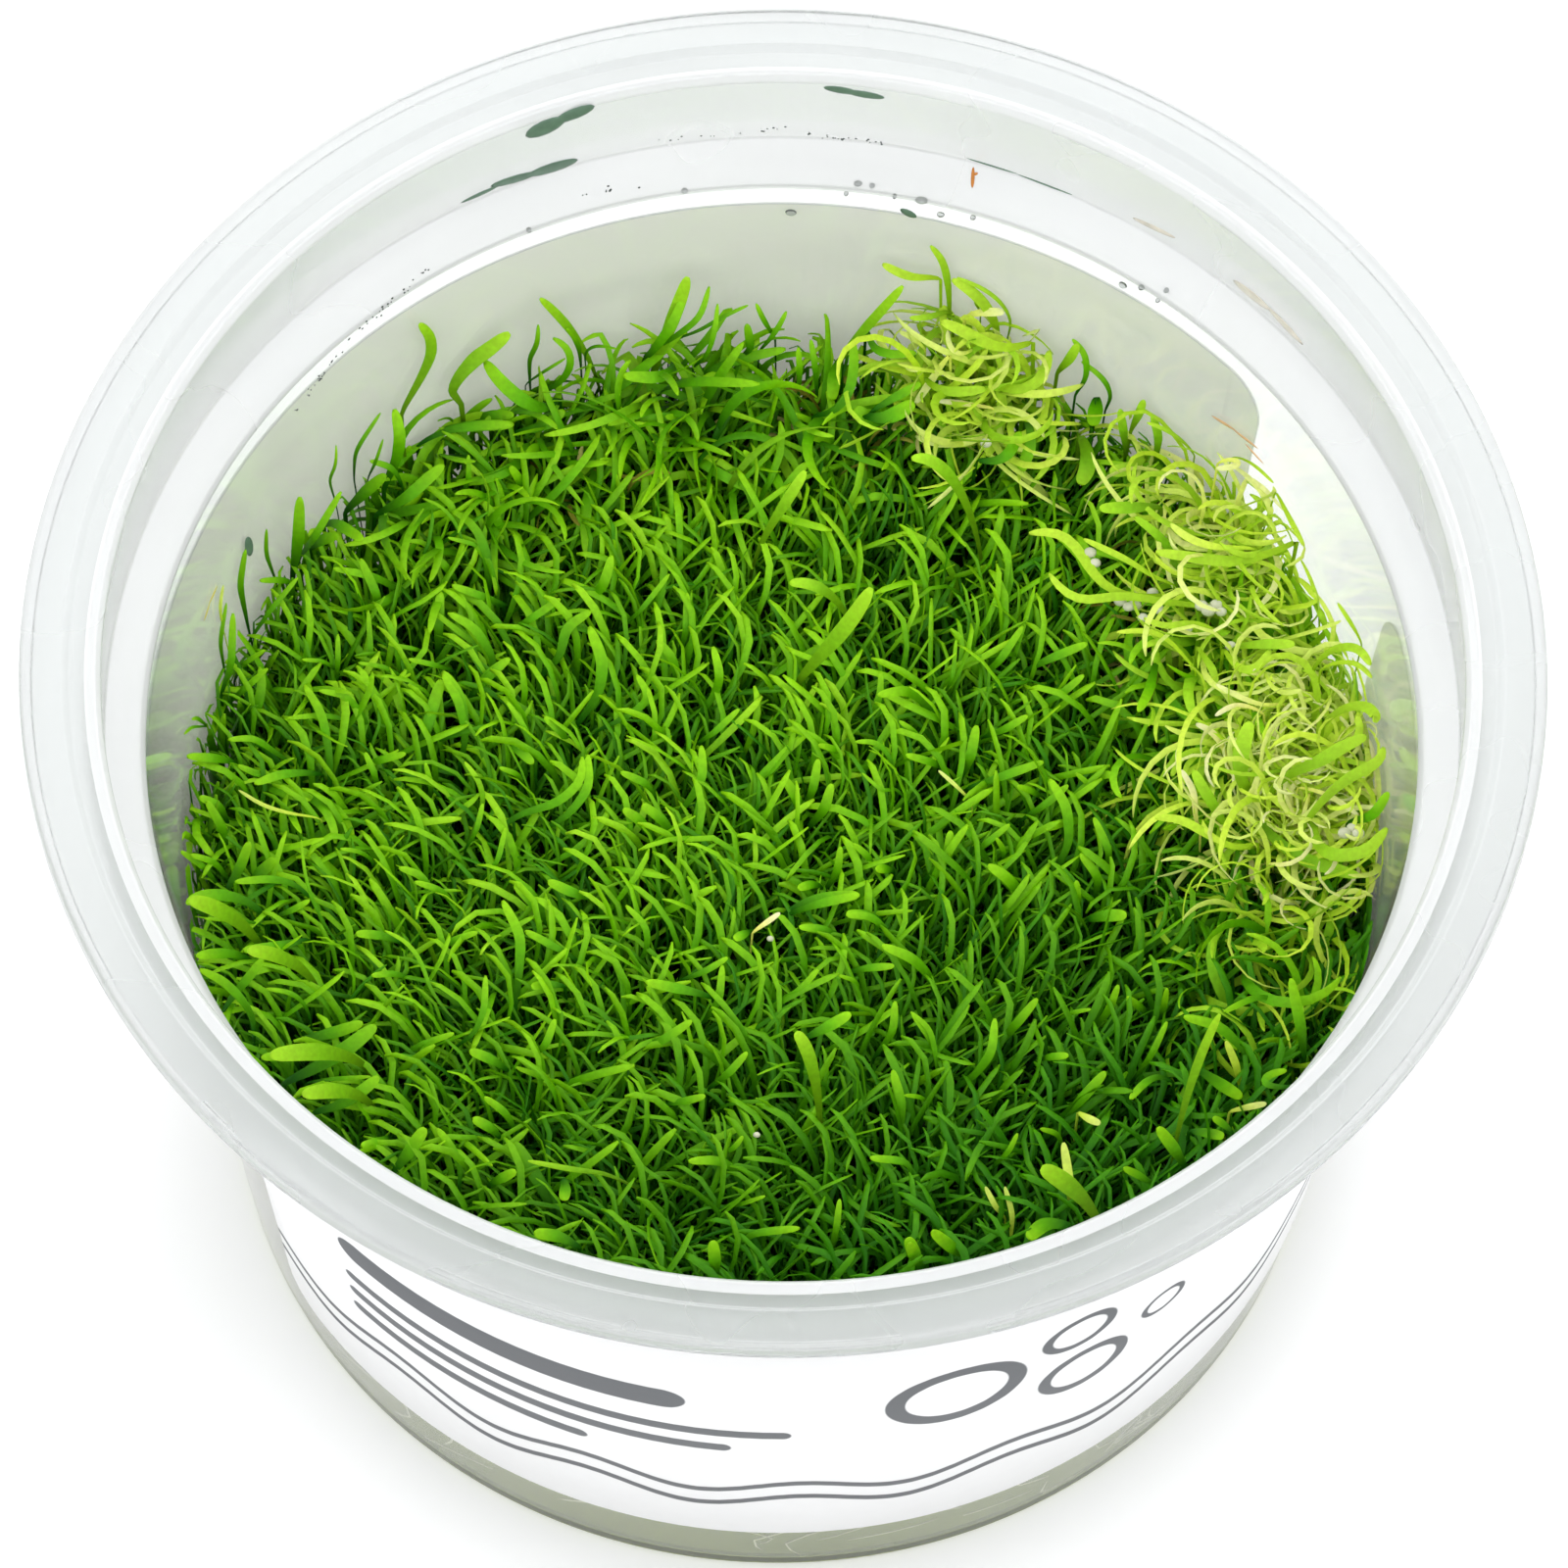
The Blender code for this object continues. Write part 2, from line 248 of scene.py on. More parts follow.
# Cup: sizes in mm
cup = {
    "height": 60.5,
    "rim": 50.5,
    "flatInner": 47.7,
    "mouth": 45.1,
    "collarLow": 52.3,
    "ledge": 43.1,
    "ledgeLow": 50.9,
    "wallAtFloor": 37.4,
    "taper": 0.112,
    "wall": 0.6,
    "floor": 0.9,
    "skirtLow": 59.1,
    "shell": 0.8,
    "steps": 192,
    "wallTop": 50.1,                  # inside the wall ends here, and outside it flares from "flare" up
    "flare": 49.5,
    "flareRise": 0.4,
    "foot": 0.6,                      # rounding of the base outside, and of its inside corner
    "fillet": 0.4,
    "arcSteps": 5,
    "beadWidth": 0.4,                 # the bead at the mouth and the groove round it
    "beadDrop": 0.5,
    "mouthDrop": 1.0,
    "grooveWidth": 0.7,
    "grooveDepth": 0.8,
    "grooveSlope": 0.5,
    "lip": 0.3,                       # the small turns at the rim, the skirt and the ledge
    "edgeRound": 0.14,
    "sharpTurn": 25,
    "footTo": 1.7,                    # up to this height the gel's colour shows through
    "rimFrom": 47.9,                  # from this height up the plastic is milky
    "collarFrom": 51.8,
    "flangeFrom": 59.3,
    "beadTo": 46.3,                   # the bead inside this radius is as milky as the ledge
}
# Plastics from the flange down: tint, how clear, roughness, gloss and mirror
plastics = {
    # the flange is the same plastic as the rim with a darker tint: painted shade that tones down the light
    # on its top
    "flangePlastic": (tint(227, 230, 228), 0.87, 0.22, 0.3, 0.5),
    "rimPlastic": (tint(254, 255, 254), 0.75, 0.22, 0.3, 0.5),
    "ledgePlastic": (tint(254, 255, 254), 0.35, 0.22, 0.3, 0.5),
    "wallPlastic": (tint(254, 255, 253), 0.98, 0.03, 0.0, 0.2),
    "footPlastic": (tint(186, 200, 118), 0.7, 0.22, 0.0, 0.2),
}
# The flow lines and the haze that every moulded plastic shows
moulding = {
    "around": 1.5,
    "across": 260.0,
    "from": 0.45,
    "to": 0.75,
    "shade": 0.95,
    "grain": 60.0,
    "haze": 0.1,
    "refraction": 1.47,
}


def wallOutside(height):
    return cup["wallAtFloor"] + cup["taper"] * height


def wallInside(height):
    return wallOutside(height) - cup["wall"]


def arc(centreR, centreZ, radius, start, end, steps):
    turns = [math.radians(start + (end - start) * step / steps) for step in range(steps + 1)]
    return [(centreR + radius * math.cos(a), centreZ + radius * math.sin(a)) for a in turns]


def spinOutline(outline, steps):      # (radius, height) points in mm, from axis to axis
    bm = bmesh.new()
    corners = [bm.verts.new((radius * mm, 0, height * mm)) for radius, height in outline]
    lines = [bm.edges.new(pair) for pair in zip(corners, corners[1:])]
    bmesh.ops.spin(bm, geom=corners + lines, cent=(0, 0, 0), axis=(0, 0, 1), dvec=(0, 0, 0),
                   angle=2 * math.pi, steps=steps, use_merge=True, use_duplicate=False)
    bmesh.ops.remove_doubles(bm, verts=bm.verts, dist=1e-7)
    bmesh.ops.recalc_face_normals(bm, faces=bm.faces)
    return bm


def roundRings(bm, width, turn):      # softens the moulded edges that run round the axis
    sharp = []
    for edge in bm.edges:
        first, second = (Vector((*v.co.xy, 0)).length for v in edge.verts)
        level = abs(edge.verts[0].co.z - edge.verts[1].co.z) + abs(first - second) < 1e-6
        if level and edge.calc_face_angle(0) > math.radians(turn):
            sharp.append(edge)
    bmesh.ops.bevel(bm, geom=sharp, affect="EDGES", offset=width * mm, offset_type="OFFSET",
                    segments=3, profile=0.5, material=-1, clamp_overlap=True)


def plasticFinish(name, shade, clear, rough, gloss, mirror):
    paint = Finish(name)
    flow = paint.streaks(moulding["around"], moulding["across"], 1.0)
    flow = paint.between(flow, moulding["from"], moulding["to"])
    haze = paint.noise(moulding["grain"])
    return paint.surface({
        "Base Color": paint.blend(flow, shade, deeper(shade, moulding["shade"])),
        "Roughness": rough + haze * moulding["haze"],
        "IOR": moulding["refraction"],
        "Transmission Weight": clear,
        "Coat Weight": gloss,
        "Specular IOR Level": mirror,
    })


def makeCup():
    foot, fillet, lip = cup["foot"], cup["fillet"], cup["lip"]
    bead = cup["mouth"] + cup["beadWidth"]
    groove = cup["height"] - cup["grooveDepth"]
    outside = cup["mouth"] + cup["shell"]
    skirt = cup["rim"] - cup["shell"]
    outline = [(0, 0)]
    outline += arc(wallOutside(foot) - foot, foot, foot, -90, 0, cup["arcSteps"])
    outline += [
        (wallOutside(cup["flare"]), cup["flare"] + cup["flareRise"]),
        (cup["ledge"] + cup["shell"], cup["ledgeLow"] - lip),
        (outside, cup["collarLow"] - lip * 2),
        (outside, cup["skirtLow"] + lip),
        (skirt, cup["skirtLow"] + lip),
        (skirt, cup["skirtLow"]),
        (cup["rim"], cup["skirtLow"]),
        (cup["rim"], cup["height"] - lip),
        (cup["rim"] - lip, cup["height"]),
        (cup["flatInner"], cup["height"]),
        (cup["flatInner"] - cup["grooveSlope"], groove),
        (bead + cup["grooveWidth"], groove),
        (bead, cup["height"] - cup["beadDrop"]),
        (cup["mouth"], cup["height"] - cup["mouthDrop"]),
        (cup["mouth"], cup["collarLow"]),
        (cup["ledge"], cup["ledgeLow"]),
        (wallInside(cup["wallTop"]), cup["wallTop"]),
    ]
    low = cup["floor"] + fillet
    outline += arc(wallInside(low) - fillet, low, fillet, 0, -90, cup["arcSteps"])
    outline.append((0, cup["floor"]))
    bm = spinOutline(outline, cup["steps"])
    roundRings(bm, cup["edgeRound"], cup["sharpTurn"])
    for face in bm.faces:
        middle = face.calc_center_median() / mm
        levels = (cup["flangeFrom"], cup["collarFrom"], cup["rimFrom"], cup["footTo"])
        face.material_index = sum(middle.z < level for level in levels)
        if middle.z > cup["flangeFrom"] and middle.xy.length < cup["beadTo"]:
            face.material_index = list(plastics).index("ledgePlastic")
    finishes = [plasticFinish(name, *values) for name, values in plastics.items()]
    piece = addPiece("cup_body", toMesh("cup_body", bm), finishes, ["cup"])
    even = piece.modifiers.new("evenShading", "WEIGHTED_NORMAL")
    even.keep_sharp = True
    print("cup made")


# Labels: films wrapped round the wall; spans in degrees about the axis, sizes in mm
labels = {
    "low": 7.45,
    "high": 47.6,
    "corner": 3.0,
    "thickness": 0.2,
    "gap": 0.06,
    "sliceWidth": 1.5,
    "film": tint(240, 240, 239),
    "ink": tint(104, 106, 108),
    "inside": tint(250, 252, 240),
    "ghost": tint(243, 245, 232),
    "paintedGlow": 0.3,                      # painted light: the backing glows as if lit through the film
    "roughness": 0.8,
    "fibreScale": 700.0,
    "fibreShade": 0.93,
    "fibreRough": 0.12,
    "rippleScale": 120.0,
    "ripple": 0.02 * mm,
    "rippleShare": 0.3,
    "mapSpan": 100,                   # mm that the print's map spans
    # name: start, end and where the print's middle is
    "spans": {"front_label": (212.2, 376.8, 268.0), "back_label": (41.0, 188.0, 90.0)},
}
# What is printed: bars as (left, foot, length, height) in mm from the print's middle and the base
prints = {
    "bars": [(-30, 31.0, 26, 3.4), (-30, 26.6, 33, 1.3), (-30, 23.8, 29, 1.3), (-30, 21.0, 19, 1.3)],
    "bubbles": [(14, 31.0, 4.2), (22.5, 34.4, 2.4), (23.5, 26.6, 3.0), (29.5, 30.5, 1.6)],
    "waves": [14.0, 16.6],
    "waveLength": 15.0,
    "waveHeight": 1.0,
    "waveThickness": 0.42,
    "ringShare": 0.16,                # half a ring's stroke, as a share of its radius
    "soft": 0.12,
}


def labelArt(paint, across, up):      # 1 where there is ink
    soft = prints["soft"]
    art = None
    for left, foot, length, height in prints["bars"]:
        half = height / 2
        inX = paint.maths("ABSOLUTE", across - (left + length / 2)) - (length / 2 - half)
        inX = paint.maths("MAXIMUM", inX, 0.0)
        offY = up - (foot + half)
        bar = paint.maths("SQRT", inX * inX + offY * offY).under(half, soft)
        art = bar if art is None else paint.maths("MAXIMUM", art, bar)
    for x, y, radius in prints["bubbles"]:
        away = paint.maths("SQRT", (across - x) * (across - x) + (up - y) * (up - y))
        ring = paint.maths("ABSOLUTE", away - radius).under(radius * prints["ringShare"], soft)
        art = paint.maths("MAXIMUM", art, ring)
    swell = paint.maths("SINE", across * (2 * math.pi / prints["waveLength"])) * prints["waveHeight"]
    for level in prints["waves"]:
        wave = paint.maths("ABSOLUTE", up - level - swell).under(prints["waveThickness"], soft)
        art = paint.maths("MAXIMUM", art, wave)
    return art


# a face of the film; its emission is painted light, a glow that stands in for light coming through the film
def labelFinish(name, film, ink, paintedGlow):
    paint = Finish(name)
    place = paint.node("UVMap", {"uv_map": "printPlace"}).outputs[0]
    across, up = paint.parts(place)[:2]
    art = labelArt(paint, across * labels["mapSpan"], up * labels["mapSpan"])
    fibre = paint.noise(labels["fibreScale"], 3.0)
    ground = paint.blend(fibre * 0.5, film, deeper(film, labels["fibreShade"]))
    return paint.surface({
        "Base Color": paint.blend(art, ground, ink),
        "Roughness": labels["roughness"] + fibre * labels["fibreRough"],
        "Emission Color": film,
        "Emission Strength": paintedGlow,
        "Normal": paint.bump(paint.noise(labels["rippleScale"]), labels["ripple"], labels["rippleShare"]),
    })


def makeLabel(name, start, end, front, finishes):
    radius = wallOutside((labels["low"] + labels["high"]) / 2)
    middle = math.radians((start + end) / 2)
    width = radius * math.radians(end - start)
    aside = radius * (middle - math.radians(front))
    tall = labels["high"] - labels["low"]
    bm = bmesh.new()
    bmesh.ops.create_grid(bm, x_segments=1, y_segments=1, size=0.5)
    bmesh.ops.scale(bm, vec=(width, tall, 1), verts=bm.verts)
    bmesh.ops.bevel(bm, geom=bm.verts[:], affect="VERTICES", offset=labels["corner"], segments=8,
                    profile=0.5, material=-1)
    for cut in range(1, round(width / labels["sliceWidth"])):
        across = cut * labels["sliceWidth"] - width / 2
        bmesh.ops.bisect_plane(bm, geom=bm.verts[:] + bm.edges[:] + bm.faces[:],
                               plane_co=(across, 0, 0), plane_no=(1, 0, 0))
    place = bm.loops.layers.uv.new("printPlace")
    for face in bm.faces:
        for loop in face.loops:
            spot = loop.vert.co
            up = spot.y + tall / 2 + labels["low"]
            loop[place].uv = ((spot.x + aside) / labels["mapSpan"], up / labels["mapSpan"])
    for vert in bm.verts:             # wraps the flat film round the tapered wall
        height = vert.co.y + tall / 2 + labels["low"]
        turn = middle + vert.co.x / radius
        out = (wallOutside(height) + labels["gap"]) * mm
        vert.co = (out * math.cos(turn), out * math.sin(turn), height * mm)
    bmesh.ops.recalc_face_normals(bm, faces=bm.faces)
    outward = sum(face.normal.dot(Vector((*face.calc_center_median().xy, 0))) for face in bm.faces)
    if outward > 0:
        bmesh.ops.reverse_faces(bm, faces=bm.faces)
    bmesh.ops.solidify(bm, geom=bm.faces[:], thickness=labels["thickness"] * mm)
    bmesh.ops.recalc_face_normals(bm, faces=bm.faces)
    for face in bm.faces:
        inward = face.normal.dot(Vector((*face.calc_center_median().xy, 0)).normalized()) < -0.5
        face.material_index = 1 if inward else 0
    addPiece(name + "_film", toMesh(name + "_film", bm), finishes, [name])


def makeLabels():
    finishes = [labelFinish("labelFilm", labels["film"], labels["ink"], 0.0),
                labelFinish("labelBacking", labels["inside"], labels["ghost"], labels["paintedGlow"])]
    for name, (start, end, front) in labels["spans"].items():
        makeLabel(name, start, end, front, finishes)
    print("labels made")


# Blades: a few-sided form is bent along each leaf's own line. A shape is where its rings are from root
# to tip, and how wide it is there.
blade = {
    "long": ([0.0, 0.1, 0.2, 0.3, *np.linspace(0.36, 0.94, 14), 0.975, 1.0],
             [0.26, 0.27, 0.3, 0.38, *np.linspace(0.46, 1.0, 9), 1.0, 1.0, 0.97, 0.91, 0.82, 0.62, 0.3]),
    "stalk": 0.3,                     # the part of a long blade that is its stalk
    "curl": ([0.0, 0.1, 0.2, 0.3, 0.4, 0.5, 0.6, 0.7, 0.8, 0.88, 0.95, 1.0],
             [0.6, 0.75, 0.85, 0.95, 1.0, 1.0, 1.0, 0.95, 0.9, 0.8, 0.6, 0.25]),
    "short": ([0.0, 0.3, 0.48, 0.62, 0.74, 0.85, 0.95, 1.0], [0.36, 0.5, 0.64, 0.8, 0.93, 1.0, 0.88, 0.42]),
    "plain": ([0.0, 0.35, 0.65, 0.88, 1.0], [0.6, 0.85, 1.0, 0.85, 0.3]),
    "fineSteps": 60,
    "softening": 9,                   # passes that round the bends of the traced lines
    "slim": 0.52,                     # narrow leaves look wider than they are in the photograph
    "slimmer": 0.18,
    "thin": 0.07,                     # thickness in mm is thin + share * width
    "share": 0.12,
    "wallShare": 0.55,                # distance to the wall in mm is wallGap + wallShare * width
    "wallGap": 0.15,
    "faceUp": (0.0, -0.4, 0.9),       # the flat side of a traced leaf looks this way
}


def makeForm(sides, shape):           # a cone's side cut into rings, which sweep() then places
    stations, width = blade[shape]
    bm = bmesh.new()
    bmesh.ops.create_cone(bm, cap_ends=True, segments=sides, radius1=1, radius2=1, depth=1)
    along = [e for e in bm.edges if abs(e.verts[0].co.z - e.verts[1].co.z) > 0.5]
    bmesh.ops.subdivide_edges(bm, edges=along, cuts=len(stations) - 2, use_grid_fill=True)
    corners = np.array([vert.co for vert in bm.verts])
    ring = np.round((corners[:, 2] + 0.5) * (len(stations) - 1)).astype(int)
    faces = [np.array([vert.index for vert in face.verts]) for face in bm.faces]
    bm.free()
    return {
        "across": corners[:, 0],
        "over": corners[:, 1],
        "ring": ring,
        "rim": np.round(corners[:, 0]).astype(int),
        "faces": faces,
        "stations": np.array(stations),
        "width": np.array(width),
    }


def unit(vectors):
    return vectors / np.maximum(np.linalg.norm(vectors, axis=-1, keepdims=True), 1e-9)


def keepInWall(points, off):          # points in mm; off is the least distance to the wall
    radius = np.hypot(points[..., 0], points[..., 1])
    limit = wallInside(points[..., 2]) - off
    points[..., :2] *= np.minimum(1, limit / np.maximum(radius, 1e-6))[..., None]
    return points


def clearOfWall(line, width):         # moves a leaf's line in, by more for a wider leaf
    return keepInWall(line, blade["wallShare"] * width + blade["wallGap"])


def sweep(form, lines, sides, width):
    ahead = unit(np.gradient(lines, axis=1))
    sides = unit(sides - ahead * (sides * ahead).sum(-1, keepdims=True))
    over = np.cross(ahead, sides)
    ring = form["ring"]
    half = width[:, None] * form["width"] / 2
    halfWidth = half[:, ring] * form["across"]
    halfThick = (blade["thin"] / 2 + blade["share"] * half)[:, ring] * form["over"]
    return lines[:, ring] + sides[:, ring] * halfWidth[..., None] + over[:, ring] * halfThick[..., None]


def bendLines(form, roots, habit):    # angles in radians along each leaf, all leaves at once
    steps = blade["fineSteps"]
    part = (np.arange(steps) + 0.5) / steps
    tilt = habit["lean"][:, None] + habit["bend"][:, None] * part ** habit["late"][:, None]
    turn = habit["facing"][:, None] + habit["swirl"][:, None] * part ** habit["delay"]
    way = np.stack([np.sin(tilt) * np.cos(turn), np.sin(tilt) * np.sin(turn), np.cos(tilt)], -1)
    line = np.concatenate([np.zeros((len(roots), 1, 3)), np.cumsum(way, axis=1) / steps], 1)
    length = np.minimum(habit["rise"] / line[..., 2].max(1), habit["longest"])
    line = roots[:, None] + line * length[:, None, None]
    line = clearOfWall(line, habit["width"][:, None])
    picked = np.round(form["stations"] * steps).astype(int)
    nearest = np.minimum(picked, steps - 1)
    flat = np.stack([-np.sin(turn), np.cos(turn), np.zeros_like(turn)], -1)[:, nearest]
    edge = np.cross(way[:, nearest], flat)
    roll = habit["roll"][:, None] + habit["twist"][:, None] * form["stations"]
    sides = flat * np.cos(roll)[..., None] + edge * np.sin(roll)[..., None]
    return line[:, picked], sides


def growBatch(form, roots, habit, tone, fromPart=0.0):
    lines, sides = bendLines(form, roots, habit)
    points = sweep(form, lines, sides, habit["width"])
    return {"form": form, "points": points, "tone": tone, "from": fromPart, "roots": roots[:, :2]}


def joinBatches(name, batches):
    points, faces, places, rims, start = [], [], [], [], 0
    for batch in batches:
        form, copies = batch["form"], batch["points"]
        along = batch["from"] + (1 - batch["from"]) * form["stations"][form["ring"]]
        count, size = copies.shape[:2]
        first = start + size * np.arange(count)
        for face in form["faces"]:
            faces += (first[:, None] + face).tolist()
            tones = np.repeat(batch["tone"][:, None], len(face), 1)
            places.append(np.stack([tones, np.tile(along[face], (count, 1))], -1).reshape(-1, 2))
        points.append(copies.reshape(-1, 3))
        rims.append(np.tile(form["rim"], count))
        start += count * size
    mesh = bpy.data.meshes.new(name)
    mesh.from_pydata((np.concatenate(points) * mm).tolist(), [], faces)
    layer = mesh.uv_layers.new(name="OFBake")   # across: the leaf's tone; up: the way from root to tip
    layer.uv.foreach_set("vector", np.concatenate(places).astype(np.float32).ravel())
    mesh.shade_smooth()
    ends = np.empty(len(mesh.edges) * 2, dtype=np.int32)
    mesh.edges.foreach_get("vertices", ends)
    first, second = np.concatenate(rims)[ends].reshape(-1, 2).T
    crease = mesh.attributes.new("sharp_edge", "BOOLEAN", "EDGE")
    crease.data.foreach_set("value", (first != 0) & (first == second))
    return mesh


# Leaf colours from root to tip, by tone: 0 shaded, 0.5 fresh, 0.75 pale, 1 bleached. Tone 0 is painted shade
# for leaves down in the turf; the dark roots are partly older growth and partly painted shade, and the light
# tips are partly painted light from above
leafColours = {
    "shaded": [(0.0, tint(10, 44, 1)), (0.45, tint(18, 70, 2)), (0.8, tint(48, 120, 4)),
               (1.0, tint(80, 158, 8))],
    "fresh": [(0.0, tint(14, 50, 1)), (0.4, tint(40, 106, 3)), (0.72, tint(104, 184, 6)),
              (1.0, tint(160, 228, 26))],
    "pale": [(0.0, tint(158, 212, 24)), (0.5, tint(196, 238, 40)), (1.0, tint(222, 250, 78))],
    "bleached": [(0.0, tint(234, 236, 84)), (0.5, tint(250, 248, 124)), (1.0, tint(254, 252, 192))],
    "roughness": 0.38,
    "rootRougher": 0.15,
    "grain": 2600.0,
    "grainDepth": 0.5,
    "grainRough": 0.1,
    "shine": 0.15,
}


def leafFinish(name):
    paint = Finish(name)
    tone, along = paint.leafPlace()
    # the ramp up each leaf is partly painted shade at the root and partly painted light at the tip
    shade = paint.ramp(leafColours["shaded"], along)
    for kind, low, high in (("fresh", 0.0, 0.5), ("pale", 0.5, 0.75), ("bleached", 0.75, 1.0)):
        shade = paint.blend(paint.between(tone, low, high), shade, paint.ramp(leafColours[kind], along))
    grain = paint.noise(leafColours["grain"], 3.0)   # the fine speckle of the leaf's cells
    light = 1 - leafColours["grainDepth"] / 2 + grain * leafColours["grainDepth"]
    shade = paint.node("VectorMath", {"operation": "SCALE"}, {0: shade, "Scale": light}).outputs[0]
    return paint.surface({
        "Base Color": shade,
        "Roughness": leafColours["roughness"] + leafColours["rootRougher"] * (1 - along)
        + grain * leafColours["grainRough"],
        "Specular IOR Level": leafColours["shine"],
    })


# Turf: heights and sizes in mm, angles in degrees
turf = {
    "seed": 5,
    "rootHeight": 21.9,
    "middle": 29.1,
    "edge": 38.6,
    "top": 33.0,
    "jitter": 0.42,                   # how far a root strays from the grid, as a share of its spacing
    "guideReach": 9.0,                # how far around itself each of the headings counts
    "overlap": 0.4,                   # degrees that a growth takes from the gap beside it
    "ripple": 0.5,                    # how much the turf's top goes up and down
    "rippleSize": (3.6, 3.9),
    "rippleStart": (0.7, 0.3),
    "longest": 16.0,
    "slashShare": 0.14,               # share of straight leaves at the left, and the rise to the right
    "slashRise": 0.3,
    "slashFrom": -20,
    "slashSpan": 45,
    "hookShare": 0.28,
    "strays": 0.06,
    "delay": 2.2,                     # how late along a leaf its swirl comes
    "roll": 22,
    "twist": 30,
    "greener": 0.78,                  # the seen green leaves' share of their tone
    "paleFrom": 0.7,                  # above this tone a seen leaf keeps its tone
    "dimmer": 0.98,                   # how much darker the green is towards the front right
    "dimRight": 0.6,
    "dimFront": 0.8,
    "dimSpan": 30,
}
# The turf's kinds of leaf. Mean and spread: the heading, the swirl and the lean. From and to: the bend,
# and how late along the leaf it comes. A slash's heading is from the x axis, the others' from the turf's.
kinds = {
    "arc": {"heading": (0, 18), "swirl": (100, 34), "lean": (5, 5), "bend": (70, 130), "late": (1.8, 3.2)},
    "slash": {"heading": (42, 20), "swirl": (20, 18), "lean": (14, 7), "bend": (46, 92), "late": (1.3, 2.2)},
    "hook": {"heading": (10, 40), "swirl": (40, 60), "bend": (75, 140), "late": (2.0, 4.5)},
}
# Where leaf tips are heading over the turf: x, y in mm and the heading
headings = [(-34, 6, 170), (-27, 22, 135), (-24, -4, 165), (-28, -22, 175), (-12, 14, 145), (-8, -6, 140),
            (-12, -28, 165), (4, 8, 140), (8, -14, 150), (6, 26, 125), (18, 6, 130), (20, -10, 125),
            (14, -30, 150), (28, -22, 120), (28, 6, 140), (-6, 36, 90)]
# Storeys of leaves over the whole turf: spacing, share of the full height, width and tone
storeys = {
    # the under storey's low tones give it the shaded colours: painted shade under the canopy
    "under": {"spacing": 0.9, "share": (0.35, 0.72), "width": (0.28, 0.46), "tone": (0.0, 0.1)},
    "canopy": {"spacing": 1.08, "share": (0.62, 1.02), "width": (0.24, 0.46), "tone": (0.0, 0.36)},
    "proud": {"spacing": 2.1, "share": (0.98, 1.18), "width": (0.42, 0.68), "tone": (0.34, 0.54)},
}
# Growths round the carpet: degrees about the axis and how high their leaves reach on the wall
growths = {
    "back_right_leaves": {"span": (46.7, 61.0), "height": 35.0, "slot": "leaf"},
    "back_pale_tuft": {"span": (61.7, 77.3), "height": 35.0, "slot": "pale_leaf"},
    "tall_back_leaves": {"span": (78.0, 140.0), "height": 33.0, "slot": "leaf"},
    "left_wall_leaves": {"span": (140.7, 184.0), "height": 36.0, "slot": "leaf"},
    "spoon_leaves": {"span": (184.7, 222.0), "height": 34.0, "slot": "leaf"},
    "front_wall_leaves": {"span": (222.7, 318.0), "height": 33.0, "slot": "leaf"},
    "front_right_leaves": {"span": (318.7, 347.3), "height": 35.0, "slot": "leaf"},
    "right_pale_tuft": {"span": (348.0, 406.0), "height": 34.0, "slot": "pale_leaf"},
}


def scatterRoots(rng, spacing):       # a jittered triangular grid over the round mat
    edge = turf["edge"]
    rows = np.arange(-edge, edge, spacing * math.sqrt(0.75))
    spots = np.array([(x + (row % 2) * spacing / 2, y) for row, y in enumerate(rows)
                      for x in np.arange(-edge, edge, spacing)])
    spots += rng.uniform(-turf["jitter"], turf["jitter"], spots.shape) * spacing
    return spots[np.hypot(*spots.T) < edge]


def tipHeadings(spots):
    guides = np.array(headings, float)
    away = ((spots[:, None] - guides[None, :, :2]) ** 2).sum(-1)
    pull = np.exp(-away / (2 * turf["guideReach"] ** 2))
    turn = np.radians(guides[:, 2])
    return np.arctan2(pull @ np.sin(turn), pull @ np.cos(turn))


def zoneOf(spots):                    # the growth that each root belongs to
    radius = np.hypot(*spots.T)
    angle = np.degrees(np.arctan2(spots[:, 1], spots[:, 0]))
    zone = np.full(len(spots), "short_leaf_carpet", dtype=object)
    for name, growth in growths.items():
        start, end = growth["span"]
        inside = (angle - start + turf["overlap"]) % 360 < end - start + 2 * turf["overlap"]
        zone[inside & (radius > turf["middle"])] = name
    return zone


def turfTop(spots):                   # how high the tips stand over each root
    radius = np.hypot(*spots.T)
    part = np.clip((radius - turf["middle"]) / (turf["edge"] - turf["middle"]), 0, 1)
    heights = {name: growth["height"] for name, growth in growths.items()}
    reach = np.array([heights.get(name, turf["top"]) for name in zoneOf(spots)])
    waves = np.sin(spots / turf["rippleSize"] + turf["rippleStart"])
    return turf["top"] + (reach - turf["top"]) * part + turf["ripple"] * (waves[:, 0] * waves[:, 1])


